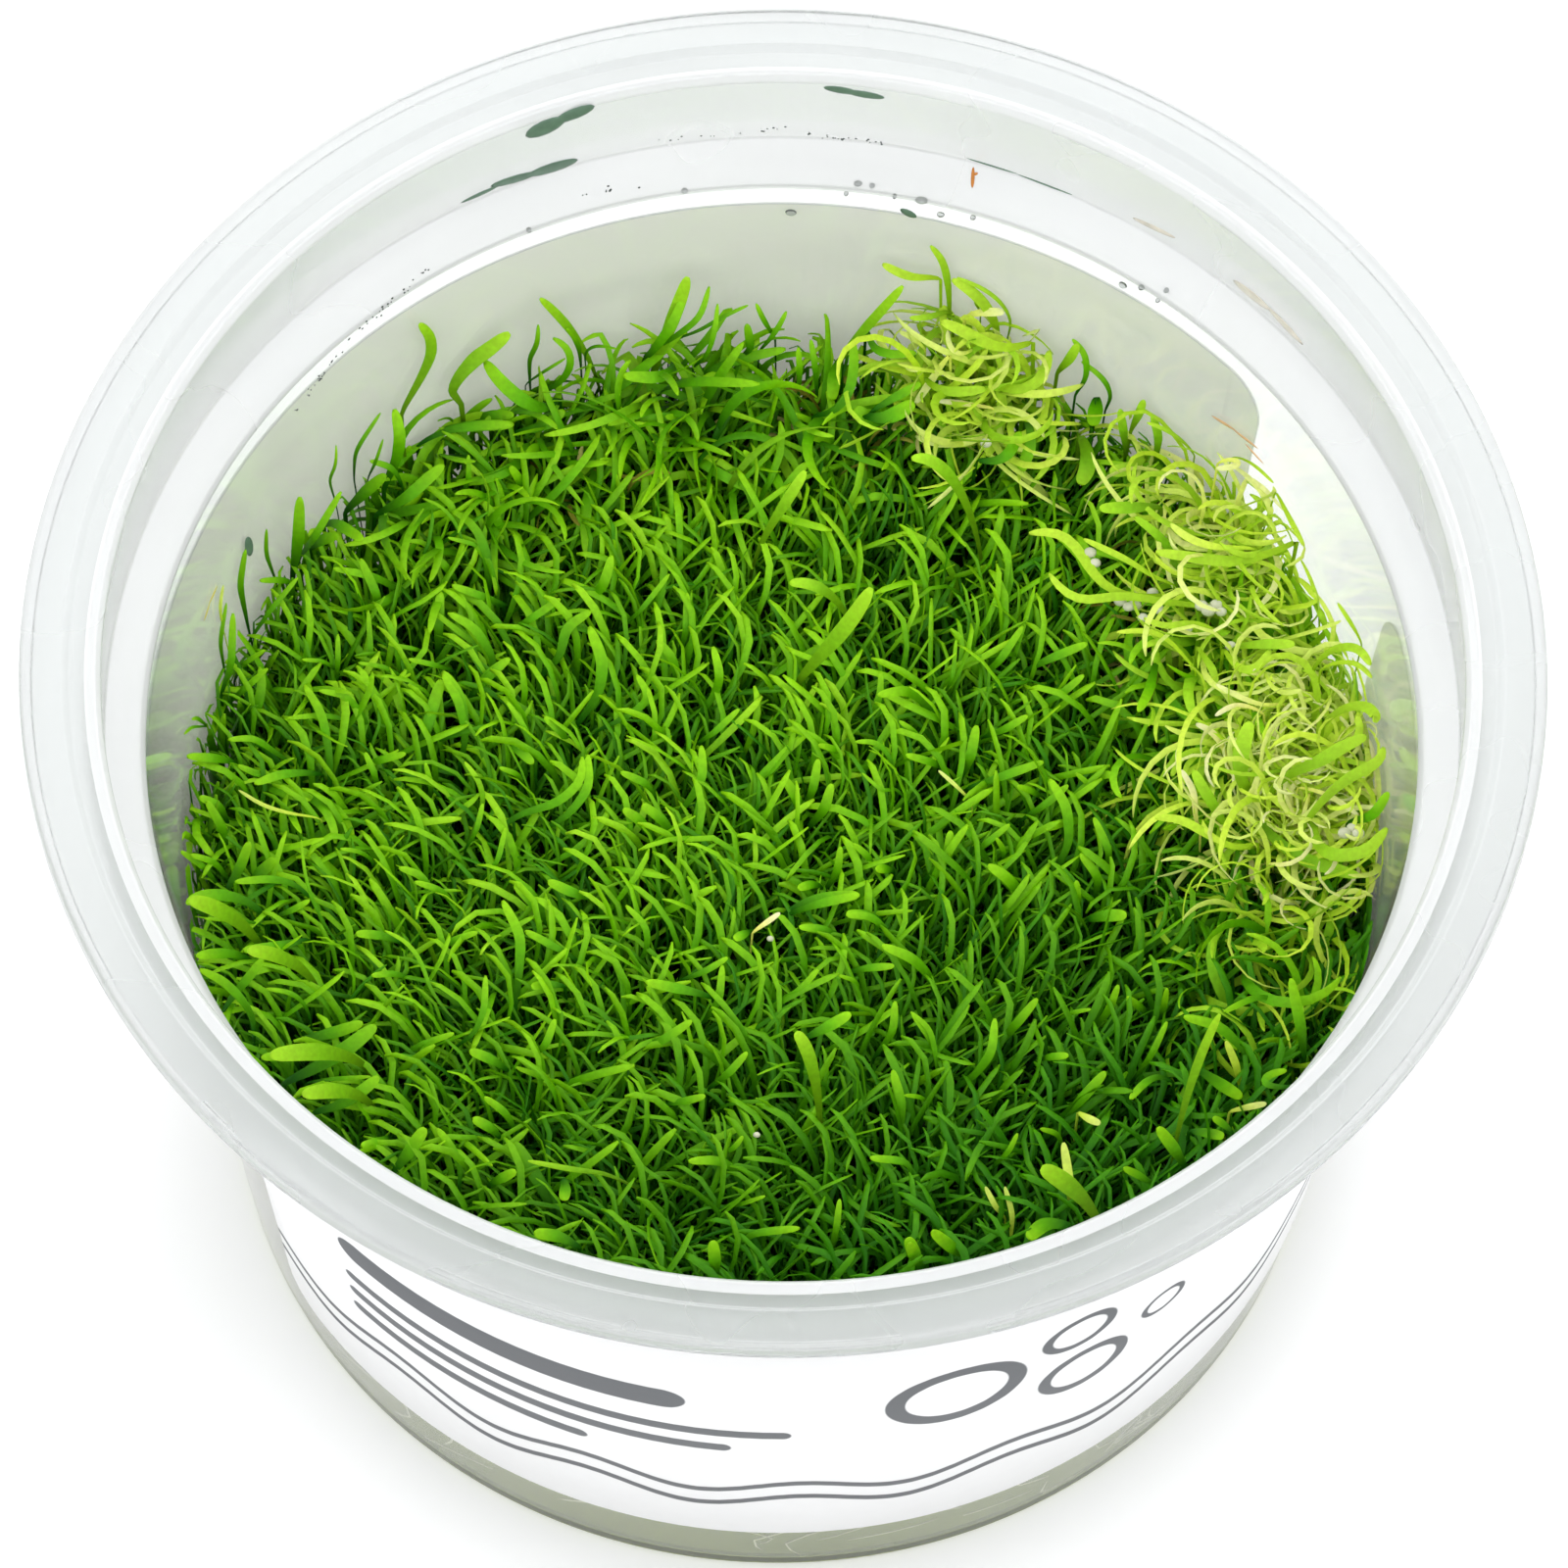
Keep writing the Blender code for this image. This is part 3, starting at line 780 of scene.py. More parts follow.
def turfHabit(rng, spots, plan):      # arcs, straight slashes and hooks, mixed as they grow
    count = len(spots)
    kind = rng.random(count)
    right = np.clip((spots[:, 0] - turf["slashFrom"]) / turf["slashSpan"], 0, 1)
    slash = kind < turf["slashShare"] + turf["slashRise"] * right
    hook = kind > 1 - turf["hookShare"]

    def mixed(draw, key):             # every kind draws from its own range; hooks lean as arcs do
        values = np.where(slash, draw(*kinds["slash"][key], count), draw(*kinds["arc"][key], count))
        if key in kinds["hook"]:
            values = np.where(hook, draw(*kinds["hook"][key], count), values)
        return values

    heading = tipHeadings(spots) + np.radians(rng.normal(*kinds["arc"]["heading"], count))
    heading = np.where(slash, np.radians(rng.normal(*kinds["slash"]["heading"], count)), heading)
    heading = np.where(hook, heading + np.radians(rng.normal(*kinds["hook"]["heading"], count)), heading)
    heading = np.where(rng.random(count) < turf["strays"], rng.uniform(0, 2 * math.pi, count), heading)
    swirl = np.radians(mixed(rng.normal, "swirl"))
    return {
        "lean": np.radians(mixed(rng.normal, "lean")),
        "bend": np.radians(mixed(rng.uniform, "bend")),
        "late": mixed(rng.uniform, "late"),
        "facing": heading - swirl,
        "swirl": swirl,
        "delay": turf["delay"],
        "rise": (turfTop(spots) - turf["rootHeight"]) * rng.uniform(*plan["share"], count),
        "roll": np.radians(rng.normal(0, turf["roll"], count)),
        "twist": np.radians(rng.normal(0, turf["twist"], count)),
        "width": rng.uniform(*plan["width"], count),
        "longest": np.full(count, turf["longest"]),
    }


def onMat(spots):                     # roots in mm from places on the mat
    return np.column_stack([spots, np.full(len(spots), turf["rootHeight"])])


def growTurf(rng, beds):
    short = makeForm(3, "short")
    plain = makeForm(3, "plain")
    for storey, plan in storeys.items():
        spots = scatterRoots(rng, plan["spacing"])
        habit = turfHabit(rng, spots, plan)
        form = plain if storey == "under" else short
        tone = rng.uniform(*plan["tone"], len(spots))
        ahead = spots[:, 0] * turf["dimRight"] - spots[:, 1] * turf["dimFront"]
        tone *= 1 - turf["dimmer"] * np.clip(ahead / turf["dimSpan"], 0, 1)
        sowBatch(beds, growBatch(form, onMat(spots), habit, tone), storey)
        print("turf storey", storey, len(spots), "leaves")


# Stems pressed against the wall: sizes in mm, lean and bend in degrees
stems = {
    "count": 1000,
    "ring": (-0.5, 0.3),              # how far off the mat's edge they stand
    "share": (0.55, 0.95),
    "lean": (-6, 4),
    "bend": (0, 40),
    "late": 2.0,
    "facing": 0.5,                    # spread in radians, as are the three below
    "swirl": 0.6,
    "roll": 0.3,
    "twist": 0.4,
    "width": (0.45, 0.8),
    # low tones give the stems the shaded colours: painted shade behind the leaves
    "tone": (0.0, 0.3),
}


def growStems(rng, beds):             # they stand behind the leaves
    count = stems["count"]
    turn = np.arange(count) * 2 * math.pi / count
    nearest, furthest = (turf["edge"] + off for off in stems["ring"])
    radius = rng.uniform(nearest, furthest, count)
    spots = np.stack([np.cos(turn), np.sin(turn)], -1) * radius[:, None]
    habit = {
        "rise": (turfTop(spots) - turf["rootHeight"]) * rng.uniform(*stems["share"], count),
        "lean": np.radians(rng.normal(*stems["lean"], count)),
        "bend": np.radians(rng.uniform(*stems["bend"], count)),
        "late": np.full(count, stems["late"]),
        "facing": turn + math.pi + rng.normal(0, stems["facing"], count),
        "swirl": rng.normal(0, stems["swirl"], count),
        "delay": 1.0,
        "roll": rng.normal(0, stems["roll"], count),
        "twist": rng.normal(0, stems["twist"], count),
        "width": rng.uniform(*stems["width"], count),
        "longest": np.full(count, turf["longest"]),
    }
    tone = rng.uniform(*stems["tone"], count)
    sowBatch(beds, growBatch(makeForm(3, "plain"), onMat(spots), habit, tone), "wallside")


def sowBatch(beds, batch, storey):    # shares a batch out to the pieces of the growths it stands in
    zone = zoneOf(batch["roots"])
    for name in dict.fromkeys(zone):
        bed = f"{name}_{storey}" if name == "short_leaf_carpet" else f"{name}_blades"
        held = zone == name
        part = dict(batch, points=batch["points"][held], tone=batch["tone"][held])
        beds.setdefault((bed, name), []).append(part)


# Single leaves seen in the photograph. Each view is an enlarged part of it: the part's top left corner,
# the enlargement, and its leaves. A leaf has a width in mm, a tone, the heights of its root and tip in
# mm, and the points of its line from root to tip in the enlarged view.
views = {}
views["back"] = (400, 270), 3.136, [
    (0.6, 0.4, 33, 40, (430, 375), (438, 300), (468, 250), (468, 192)),
    (0.6, 0.45, 34, 40, (605, 330), (600, 270), (580, 225), (558, 203)),
    (0.8, 0.5, 33, 39, (440, 425), (540, 380), (578, 320), (565, 260), (515, 235)),
    (0.4, 0.4, 34, 37, (420, 385), (490, 340), (555, 300)),
    (0.4, 0.3, 35, 39, (620, 320), (615, 280), (650, 255), (720, 270)),
    (1.0, 0.55, 34, 41, (800, 310), (840, 270), (900, 190), (940, 90)),
    (0.7, 0.5, 35, 41, (800, 290), (900, 235), (990, 170), (1015, 70)),
    (0.5, 0.4, 36, 39, (880, 245), (980, 215), (1060, 165), (1140, 130)),
    (0.6, 0.55, 34, 40, (960, 330), (1010, 290), (1035, 210), (1042, 125)),
    (0.9, 0.35, 35, 39, (1120, 290), (1150, 270), (1140, 215), (1135, 190)),
    (0.6, 0.5, 35, 39, (1170, 280), (1210, 240), (1250, 180), (1262, 150)),
    (0.6, 0.5, 36, 40, (1230, 240), (1190, 180), (1165, 125)),
    (1.0, 0.45, 32, 36, (950, 400), (1010, 340), (1120, 300), (1260, 270)),
    (1.2, 0.55, 34, 37, (905, 290), (900, 340), (850, 365), (740, 355)),
    (1.4, 0.62, 34, 39, (540, 420), (490, 465), (420, 440), (340, 370), (285, 290)),
    (1.1, 0.55, 33, 35, (80, 560), (150, 530), (270, 515), (390, 512)),
    (1.0, 0.5, 33, 35, (250, 495), (310, 480), (390, 482)),
    (1.1, 0.5, 33, 35, (380, 540), (460, 525), (520, 500), (550, 465)),
    (0.7, 0.4, 32, 35, (550, 480), (640, 440), (730, 415)),
    (0.7, 0.55, 33, 38, (1300, 420), (1305, 340), (1300, 265)),
    (0.7, 0.45, 33, 38, (1360, 420), (1355, 330), (1340, 240)),
    (1.3, 0.62, 38, 34, (1440, 290), (1415, 350), (1408, 435)),
    (1.0, 0.5, 34, 38, (1340, 480), (1400, 480), (1460, 430), (1480, 330), (1475, 240)),
    (1.5, 0.5, 34, 36, (1600, 500), (1530, 500), (1480, 460)),
    (0.6, 0.5, 31, 34, (800, 620), (760, 560), (715, 545)),
    (0.9, 0.55, 30, 34, (790, 700), (740, 640), (665, 625)),
    (0.7, 0.5, 30, 34, (855, 620), (850, 560), (810, 505)),
    (0.8, 0.5, 31, 34, (985, 505), (930, 490), (875, 487)),
    (0.8, 0.55, 30, 34, (1220, 720), (1180, 650), (1125, 595)),
    (1.1, 0.55, 30, 34, (1190, 784), (1260, 720), (1325, 635)),
    (0.6, 0.55, 30, 34, (1420, 640), (1330, 600), (1240, 560)),
    (0.7, 0.55, 31, 34, (1420, 550), (1340, 500), (1290, 478)),
    (0.7, 0.5, 30, 34, (1480, 590), (1400, 565), (1340, 555)),
    (0.9, 0.6, 30, 34, (430, 740), (410, 690), (378, 645)),
    (1.0, 0.55, 31, 34, (0, 745), (100, 690), (160, 645)),
]
views["paleBack"] = (880, 220), 4.356, [
    (0.8, 0.6, 38, 46, (430, 350), (400, 260), (365, 170), (325, 55)),
    (0.9, 0.66, 43, 43, (400, 185), (330, 260), (230, 290), (150, 250), (95, 185)),
    (1.1, 0.64, 37, 43, (620, 520), (650, 380), (620, 230), (540, 150), (430, 190)),
    (0.5, 0.6, 38, 43, (690, 440), (725, 360), (690, 270), (600, 220), (450, 190)),
    (0.5, 0.6, 40, 42, (575, 345), (525, 310), (520, 260), (560, 225), (592, 265), (570, 300), (545, 310)),
    (1.2, 0.66, 41, 41, (780, 540), (680, 600), (560, 580), (450, 510), (350, 470)),
    (0.9, 0.92, 40, 41, (440, 450), (520, 425), (630, 430)),
    (0.6, 0.9, 39, 40, (510, 570), (470, 620), (410, 625), (370, 570), (380, 510)),
    (0.8, 0.92, 40, 36, (400, 600), (340, 680), (290, 760), (235, 835)),
    (0.6, 1.0, 37, 36, (600, 850), (520, 850), (440, 830), (335, 825)),
    (0.7, 0.6, 39, 40, (440, 380), (380, 410), (300, 460), (210, 455)),
    (0.6, 0.85, 38, 38, (290, 600), (240, 550), (165, 515)),
    (1.2, 0.68, 39, 35, (560, 640), (600, 720), (630, 830), (610, 950), (555, 1070)),
    (1.0, 0.62, 37, 38, (270, 700), (300, 760), (400, 790), (550, 770)),
    (1.1, 0.64, 37, 39, (500, 710), (620, 770), (740, 780), (820, 700), (830, 600)),
    (1.2, 0.52, 37, 35, (720, 880), (760, 980), (740, 1060), (700, 1140)),
    (1.0, 0.58, 37, 41, (860, 700), (930, 630), (990, 520)),
    (0.7, 0.48, 36, 41, (940, 800), (1000, 720), (1000, 600), (955, 515)),
    (1.5, 0.5, 38, 35, (1040, 790), (1040, 860), (1022, 935)),
    (0.6, 0.42, 35, 39, (1080, 860), (1130, 780), (1100, 700), (1020, 580)),
    (1.6, 0.55, 36, 33, (960, 960), (1000, 1040), (1010, 1120), (965, 1195)),
    (0.9, 0.55, 34, 38, (1170, 1050), (1160, 950), (1145, 860)),
    (0.9, 0.58, 35, 39, (1190, 960), (1230, 880), (1260, 810)),
    (0.9, 0.55, 34, 38, (1300, 1100), (1320, 980), (1303, 870)),
    (1.3, 0.62, 36, 35, (1270, 1050), (1230, 1100), (1160, 1140), (1098, 1135)),
    (0.5, 0.62, 37, 38, (1570, 1000), (1440, 960), (1330, 940), (1265, 920)),
    (1.1, 0.48, 36, 37, (490, 1080), (600, 1100), (660, 1060), (700, 960)),
    (1.5, 0.48, 36, 37, (0, 880), (80, 910), (160, 880), (230, 830)),
    (0.9, 0.42, 36, 38, (20, 880), (140, 810), (260, 745)),
    (0.9, 0.48, 36, 38, (20, 450), (25, 540), (60, 610), (150, 620), (240, 610)),
]
views["paleRight"] = (1050, 440), 3.408, [
    (1.0, 0.66, 36, 37, (560, 560), (420, 580), (300, 570), (220, 500), (170, 400), (100, 340), (0, 355)),
    (0.9, 0.64, 37, 37, (700, 640), (640, 610), (520, 600), (300, 565), (190, 600), (110, 560), (70, 495)),
    (0.7, 0.66, 37, 38, (520, 530), (450, 520), (350, 450), (190, 375)),
    (0.9, 0.55, 35, 39, (530, 560), (500, 420), (440, 350), (368, 298)),
    (0.8, 0.78, 40, 40, (800, 400), (700, 410), (620, 400), (540, 370), (492, 322)),
    (1.1, 0.64, 41, 39, (1010, 330), (960, 370), (860, 420), (720, 460), (440, 420)),
    (0.7, 0.92, 42, 42, (640, 110), (700, 85), (760, 110), (720, 130), (650, 130)),
    (0.4, 0.66, 41, 42, (690, 80), (780, 80), (830, 140), (850, 180)),
    (0.6, 0.68, 42, 40, (860, 180), (960, 220), (1030, 320), (1000, 380)),
    (0.7, 0.66, 38, 38, (680, 720), (620, 670), (540, 660), (480, 690), (400, 650)),
    (0.6, 0.72, 36, 38, (590, 840), (520, 760), (460, 700), (380, 690), (305, 700)),
    (0.8, 0.64, 38, 36, (580, 730), (600, 780), (650, 830), (650, 890)),
    (0.9, 0.66, 38, 39, (670, 740), (720, 830), (790, 840), (840, 760)),
    (1.0, 0.6, 38, 40, (700, 750), (800, 740), (925, 740)),
    (0.6, 0.82, 38, 39, (820, 820), (830, 880), (880, 920), (950, 900)),
    (0.9, 0.64, 39, 42, (980, 830), (1050, 750), (1150, 745), (1235, 803)),
    (0.6, 0.68, 40, 41, (1000, 830), (1060, 800), (1150, 800), (1240, 848)),
    (0.5, 0.66, 42, 40, (1165, 745), (1130, 650), (1080, 595)),
    (0.6, 0.92, 37, 38, (900, 940), (820, 960), (720, 920), (650, 880)),
    (0.6, 1.0, 37, 38, (830, 985), (760, 950), (700, 950), (648, 990)),
    (0.7, 1.0, 35, 37, (700, 1160), (670, 1090), (640, 1040), (580, 1018)),
    (0.7, 1.0, 34, 37, (600, 1400), (575, 1340), (580, 1260), (530, 1178)),
    (1.1, 0.58, 34, 38, (710, 1440), (660, 1330), (610, 1250), (570, 1178)),
    (1.6, 0.6, 35, 39, (790, 1290), (740, 1230), (730, 1130), (770, 1010)),
    (1.1, 0.64, 39, 41, (1010, 1030), (1080, 960), (1180, 945), (1250, 980), (1250, 1020), (1195, 1000)),
    (0.8, 0.66, 39, 40, (1060, 1130), (1140, 1080), (1165, 1030), (1140, 990)),
    (1.3, 0.6, 37, 41, (830, 1260), (900, 1190), (1010, 1150), (1100, 1090), (1175, 1060)),
    (1.1, 0.62, 37, 41, (940, 1400), (980, 1330), (1060, 1240), (1150, 1180), (1250, 1150), (1272, 1095)),
    (1.3, 0.6, 36, 41, (990, 1290), (990, 1420), (1040, 1480), (1180, 1470), (1315, 1383)),
    (1.3, 0.56, 35, 36, (780, 1300), (830, 1400), (950, 1490), (1150, 1548)),
    (0.9, 0.68, 36, 36, (810, 1420), (720, 1460), (600, 1390), (520, 1340), (438, 1345)),
    (0.5, 0.88, 38, 39, (1190, 1350), (1110, 1390), (1150, 1360), (1170, 1410), (1140, 1440), (1100, 1400)),
    (1.0, 0.5, 37, 41, (1100, 1360), (1200, 1340), (1260, 1255)),
    (0.7, 0.64, 37, 36, (640, 1100), (540, 1110), (495, 1200)),
    (0.6, 0.96, 38, 38, (920, 1230), (1040, 1260), (1145, 1335)),
    (0.5, 0.96, 38, 36, (980, 1240), (960, 1310), (945, 1390)),
    (1.2, 0.56, 38, 40, (470, 260), (380, 265), (245, 268)),
    (1.0, 0.5, 33, 38, (450, 760), (420, 900), (380, 975)),
]
views["spoon"] = (160, 820), 3.733, [
    (1.15, 0.6, 33, 37, (430, 445), (350, 370), (250, 345), (150, 350), (72, 388)),
    (0.8, 0.6, 33, 36, (600, 370), (520, 300), (430, 285), (298, 298)),
    (0.5, 0.62, 33, 36, (420, 465), (330, 445), (182, 438)),
    (1.0, 0.6, 33, 35, (592, 512), (500, 535), (420, 550), (328, 558)),
    (1.0, 0.62, 33, 37, (375, 605), (300, 570), (200, 570), (102, 592)),
    (0.9, 0.6, 32, 36, (370, 910), (370, 820), (330, 750), (250, 670), (128, 640)),
    (0.9, 0.48, 33, 36, (240, 805), (300, 720), (360, 650), (405, 588)),
    (0.55, 0.6, 32, 35, (590, 840), (570, 770), (520, 720), (418, 705)),
    (1.15, 0.55, 32, 35, (530, 900), (620, 885), (700, 865), (785, 835)),
    (1.5, 0.4, 33, 36, (470, 1070), (600, 1010), (730, 930), (835, 845)),
    (0.95, 0.62, 33, 36, (612, 968), (500, 955), (398, 968)),
    (0.5, 0.5, 32, 35, (560, 1065), (650, 1050), (815, 1040)),
    (1.2, 0.5, 33, 35, (580, 1180), (700, 1150), (790, 1090), (845, 1040)),
    (0.9, 0.64, 32, 34, (895, 1265), (840, 1290), (778, 1303)),
    (1.3, 0.6, 32, 35, (895, 1410), (960, 1330), (1022, 1235)),
    (0.8, 0.6, 31, 34, (1150, 1480), (1160, 1390), (1120, 1300), (1068, 1238)),
    (0.5, 0.66, 33, 35, (1170, 865), (1100, 790), (1040, 710), (1010, 600), (950, 520), (868, 484)),
    (0.7, 0.55, 31, 34, (905, 975), (1000, 920), (1132, 875)),
    (0.7, 0.55, 32, 35, (1130, 930), (1210, 880), (1250, 780), (1252, 655)),
    (0.9, 0.6, 32, 34, (945, 532), (850, 500), (758, 495)),
    (0.7, 0.6, 32, 34, (985, 668), (900, 645), (818, 655)),
    (0.7, 0.58, 31, 34, (1070, 600), (1110, 525), (1222, 490)),
    (0.4, 0.5, 33, 39, (730, 590), (650, 480), (590, 370), (560, 250), (550, 138)),
    (0.5, 0.6, 31, 34, (830, 260), (820, 210), (770, 180), (698, 172)),
    (0.7, 0.55, 32, 36, (240, 320), (180, 240), (62, 182)),
    (0.7, 0.6, 32, 36, (290, 310), (220, 220), (128, 195)),
    (0.9, 0.5, 32, 37, (270, 200), (250, 90), (190, -10)),
    (1.0, 0.5, 32, 36, (255, 345), (320, 240), (352, 145)),
    (1.2, 0.4, 32, 35, (330, 320), (400, 260), (452, 208)),
    (0.6, 0.55, 31, 34, (1230, 300), (1300, 220), (1328, 92)),
    (0.6, 0.55, 31, 34, (1170, 180), (1220, 100), (1242, 0)),
    (0.7, 0.6, 31, 34, (1145, 440), (1110, 350), (1060, 320), (982, 298)),
    (0.8, 0.58, 31, 34, (1035, 450), (1045, 340), (1010, 270), (922, 244)),
    (0.7, 0.6, 32, 34, (440, 432), (510, 410), (582, 368)),
]
views["left"] = (160, 420), 3.733, [
    (0.9, 0.58, 30, 35, (660, 1480), (660, 1320), (630, 1150), (562, 1042)),
    (0.9, 0.55, 30, 35, (1150, 1370), (1180, 1230), (1150, 1100), (1088, 998)),
    (1.2, 0.5, 30, 34, (1010, 1340), (1030, 1200), (1082, 1020)),
    (0.9, 0.5, 30, 34, (1080, 940), (1075, 820), (1082, 685)),
    (0.9, 0.52, 30, 35, (850, 820), (840, 700), (775, 560)),
    (0.8, 0.55, 30, 35, (960, 800), (900, 660), (800, 620), (672, 598)),
    (0.6, 0.55, 30, 34, (680, 1060), (690, 960), (690, 848)),
    (0.5, 0.58, 31, 34, (700, 1000), (640, 950), (552, 945)),
    (0.7, 0.55, 30, 35, (830, 1280), (790, 1160), (720, 1080), (618, 1063)),
    (0.6, 0.6, 31, 34, (820, 1250), (720, 1170), (620, 1155), (498, 1168)),
    (0.9, 0.6, 32, 35, (640, 1380), (560, 1375), (470, 1380), (372, 1418)),
    (0.7, 0.58, 32, 34, (490, 1400), (380, 1380), (308, 1348)),
    (0.7, 0.6, 31, 35, (540, 1360), (440, 1290), (370, 1240), (272, 1250)),
    (0.9, 0.58, 33, 37, (310, 1340), (230, 1320), (92, 1310)),
    (0.7, 0.55, 31, 35, (250, 1130), (330, 1060), (422, 978)),
    (0.6, 0.55, 31, 35, (260, 1020), (330, 960), (412, 908)),
    (0.8, 0.55, 33, 39, (240, 1090), (285, 960), (290, 768)),
    (0.5, 0.5, 33, 39, (190, 980), (240, 880), (262, 728)),
    (0.7, 0.42, 33, 41, (320, 820), (315, 660), (315, 515)),
    (0.5, 0.35, 33, 41, (390, 620), (415, 540), (418, 448)),
    (1.2, 0.48, 32, 41, (470, 620), (540, 480), (545, 325)),
    (0.8, 0.52, 33, 41, (530, 560), (600, 480), (702, 305)),
    (1.1, 0.55, 34, 37, (600, 410), (680, 420), (785, 488)),
    (1.1, 0.4, 33, 36, (560, 515), (620, 490), (692, 470)),
    (0.6, 0.5, 32, 36, (300, 880), (430, 760), (537, 632)),
    (0.7, 0.5, 32, 36, (560, 670), (480, 640), (383, 640)),
    (1.2, 0.5, 33, 37, (820, 400), (950, 330), (1093, 202)),
    (1.2, 0.38, 33, 38, (700, 380), (800, 300), (872, 240)),
    (0.7, 0.5, 35, 38, (940, 290), (900, 210), (812, 188)),
    (1.2, 0.6, 34, 41, (860, 300), (915, 180), (930, 90), (905, -10)),
    (0.4, 0.6, 34, 42, (660, 335), (655, 260), (685, 200), (683, 128)),
    (0.5, 0.35, 35, 41, (750, 260), (755, 150), (852, 5)),
    (0.4, 0.35, 35, 40, (800, 260), (835, 190), (862, 105)),
    (0.9, 0.5, 34, 36, (980, 130), (1100, 70), (1250, 50), (1350, 50)),
    (0.6, 0.5, 32, 36, (1160, 330), (1190, 250), (1187, 165)),
    (0.9, 0.6, 30, 34, (1350, 510), (1300, 420), (1243, 342)),
    (0.6, 0.55, 30, 34, (1160, 670), (1090, 570), (1010, 490), (955, 495)),
    (0.6, 0.5, 30, 34, (980, 700), (930, 580), (852, 492)),
    (0.5, 0.5, 31, 34, (965, 500), (920, 440), (875, 416)),
    (0.4, 0.5, 31, 35, (1220, 640), (1180, 560), (1150, 440), (1090, 360), (1012, 330)),
    (0.5, 0.55, 31, 34, (1290, 580), (1230, 510), (1108, 480)),
    (0.7, 0.58, 31, 34, (1345, 742), (1240, 700), (1127, 666)),
    (0.7, 0.58, 30, 34, (1290, 970), (1250, 870), (1190, 800), (1108, 768)),
    (0.9, 0.58, 31, 34, (1180, 1100), (1260, 1000), (1345, 940)),
    (0.6, 0.58, 31, 34, (1145, 992), (1060, 965), (958, 943)),
    (0.5, 0.55, 31, 34, (1035, 925), (990, 905), (882, 886)),
    (0.5, 0.55, 31, 34, (985, 1045), (880, 975), (767, 957)),
    (0.6, 0.5, 30, 34, (820, 1110), (815, 900), (805, 757)),
    (0.8, 0.58, 31, 34, (780, 1352), (840, 1330), (948, 1303)),
    (0.7, 0.58, 31, 34, (850, 1460), (830, 1380), (793, 1298)),
    (0.6, 0.55, 30, 34, (1040, 1490), (1045, 1420), (1023, 1338)),
    (0.45, 0.8, 33, 35, (640, 1550), (500, 1530), (400, 1500), (312, 1442)),
    (0.4, 0.8, 37, 41, (185, 810), (200, 730), (237, 655)),
    (0.5, 0.58, 33, 37, (200, 1205), (130, 1160), (52, 1158)),
    (0.4, 0.6, 33, 38, (200, 1198), (100, 1195), (2, 1214)),
    (0.9, 0.58, 32, 35, (275, 1575), (240, 1500), (162, 1468)),
]
views["rightFront"] = (900, 1000), 3.015, [
    (1.0, 0.6, 32, 36, (1165, 290), (1110, 210), (1040, 140), (928, 113)),
    (1.1, 0.6, 32, 38, (1300, 260), (1290, 150), (1258, -5)),
    (0.7, 0.6, 34, 36, (1255, 60), (1150, 50), (1052, 98)),
    (1.2, 0.6, 35, 33, (955, 262), (1040, 320), (1108, 362)),
    (0.8, 0.6, 33, 34, (905, 315), (850, 290), (800, 320), (763, 367)),
    (0.8, 0.6, 36, 36, (1285, 325), (1220, 332), (1160, 322), (1180, 288), (1245, 278)),
    (1.0, 0.6, 34, 34, (935, 462), (1000, 470), (1053, 481)),
    (0.8, 0.55, 34, 35, (1085, 475), (1050, 440), (1018, 423)),
    (1.2, 0.64, 32, 36, (935, 580), (900, 520), (848, 453)),
    (0.8, 0.58, 32, 34, (845, 635), (790, 600), (743, 578)),
    (1.4, 0.64, 33, 33, (590, 755), (500, 745), (448, 795)),
    (1.2, 0.64, 31, 35, (265, 855), (210, 820), (153, 772)),
    (1.2, 0.64, 31, 35, (135, 885), (100, 850), (83, 808)),
    (0.6, 0.56, 30, 35, (180, 365), (170, 260), (150, 150), (88, 98)),
    (0.9, 0.5, 30, 34, (40, 475), (55, 370), (33, 277)),
    (0.9, 0.5, 30, 35, (350, 205), (410, 140), (478, 57)),
    (0.9, 0.5, 30, 35, (200, 350), (290, 290), (340, 220), (347, 118)),
    (0.8, 0.58, 32, 34, (480, 246), (520, 235), (574, 232)),
    (1.0, 0.5, 30, 34, (540, 445), (620, 360), (688, 282)),
    (0.5, 0.5, 31, 34, (525, 135), (580, 100), (643, 90)),
    (0.8, 0.5, 30, 35, (640, 165), (700, 90), (727, 15)),
    (0.7, 0.5, 30, 35, (760, 325), (830, 230), (877, 128)),
    (0.8, 0.52, 31, 34, (825, 105), (790, 80), (753, 52)),
    (0.7, 0.5, 31, 36, (852, 125), (868, 80), (877, 25)),
    (0.6, 0.56, 31, 34, (328, 585), (390, 530), (417, 472)),
    (0.6, 0.55, 31, 34, (562, 525), (540, 470), (487, 458)),
    (0.8, 0.82, 33, 34, (598, 402), (630, 425), (672, 442)),
    (0.7, 0.86, 34, 35, (1060, 405), (1120, 392), (1183, 380)),
    (0.8, 0.76, 31, 35, (1105, 345), (1090, 260), (1058, 188)),
    (0.9, 0.8, 30, 34, (562, 725), (580, 640), (558, 500)),
    (0.6, 0.8, 30, 34, (395, 815), (402, 720), (378, 636)),
    (0.6, 0.8, 31, 34, (382, 735), (350, 700), (318, 636)),
]
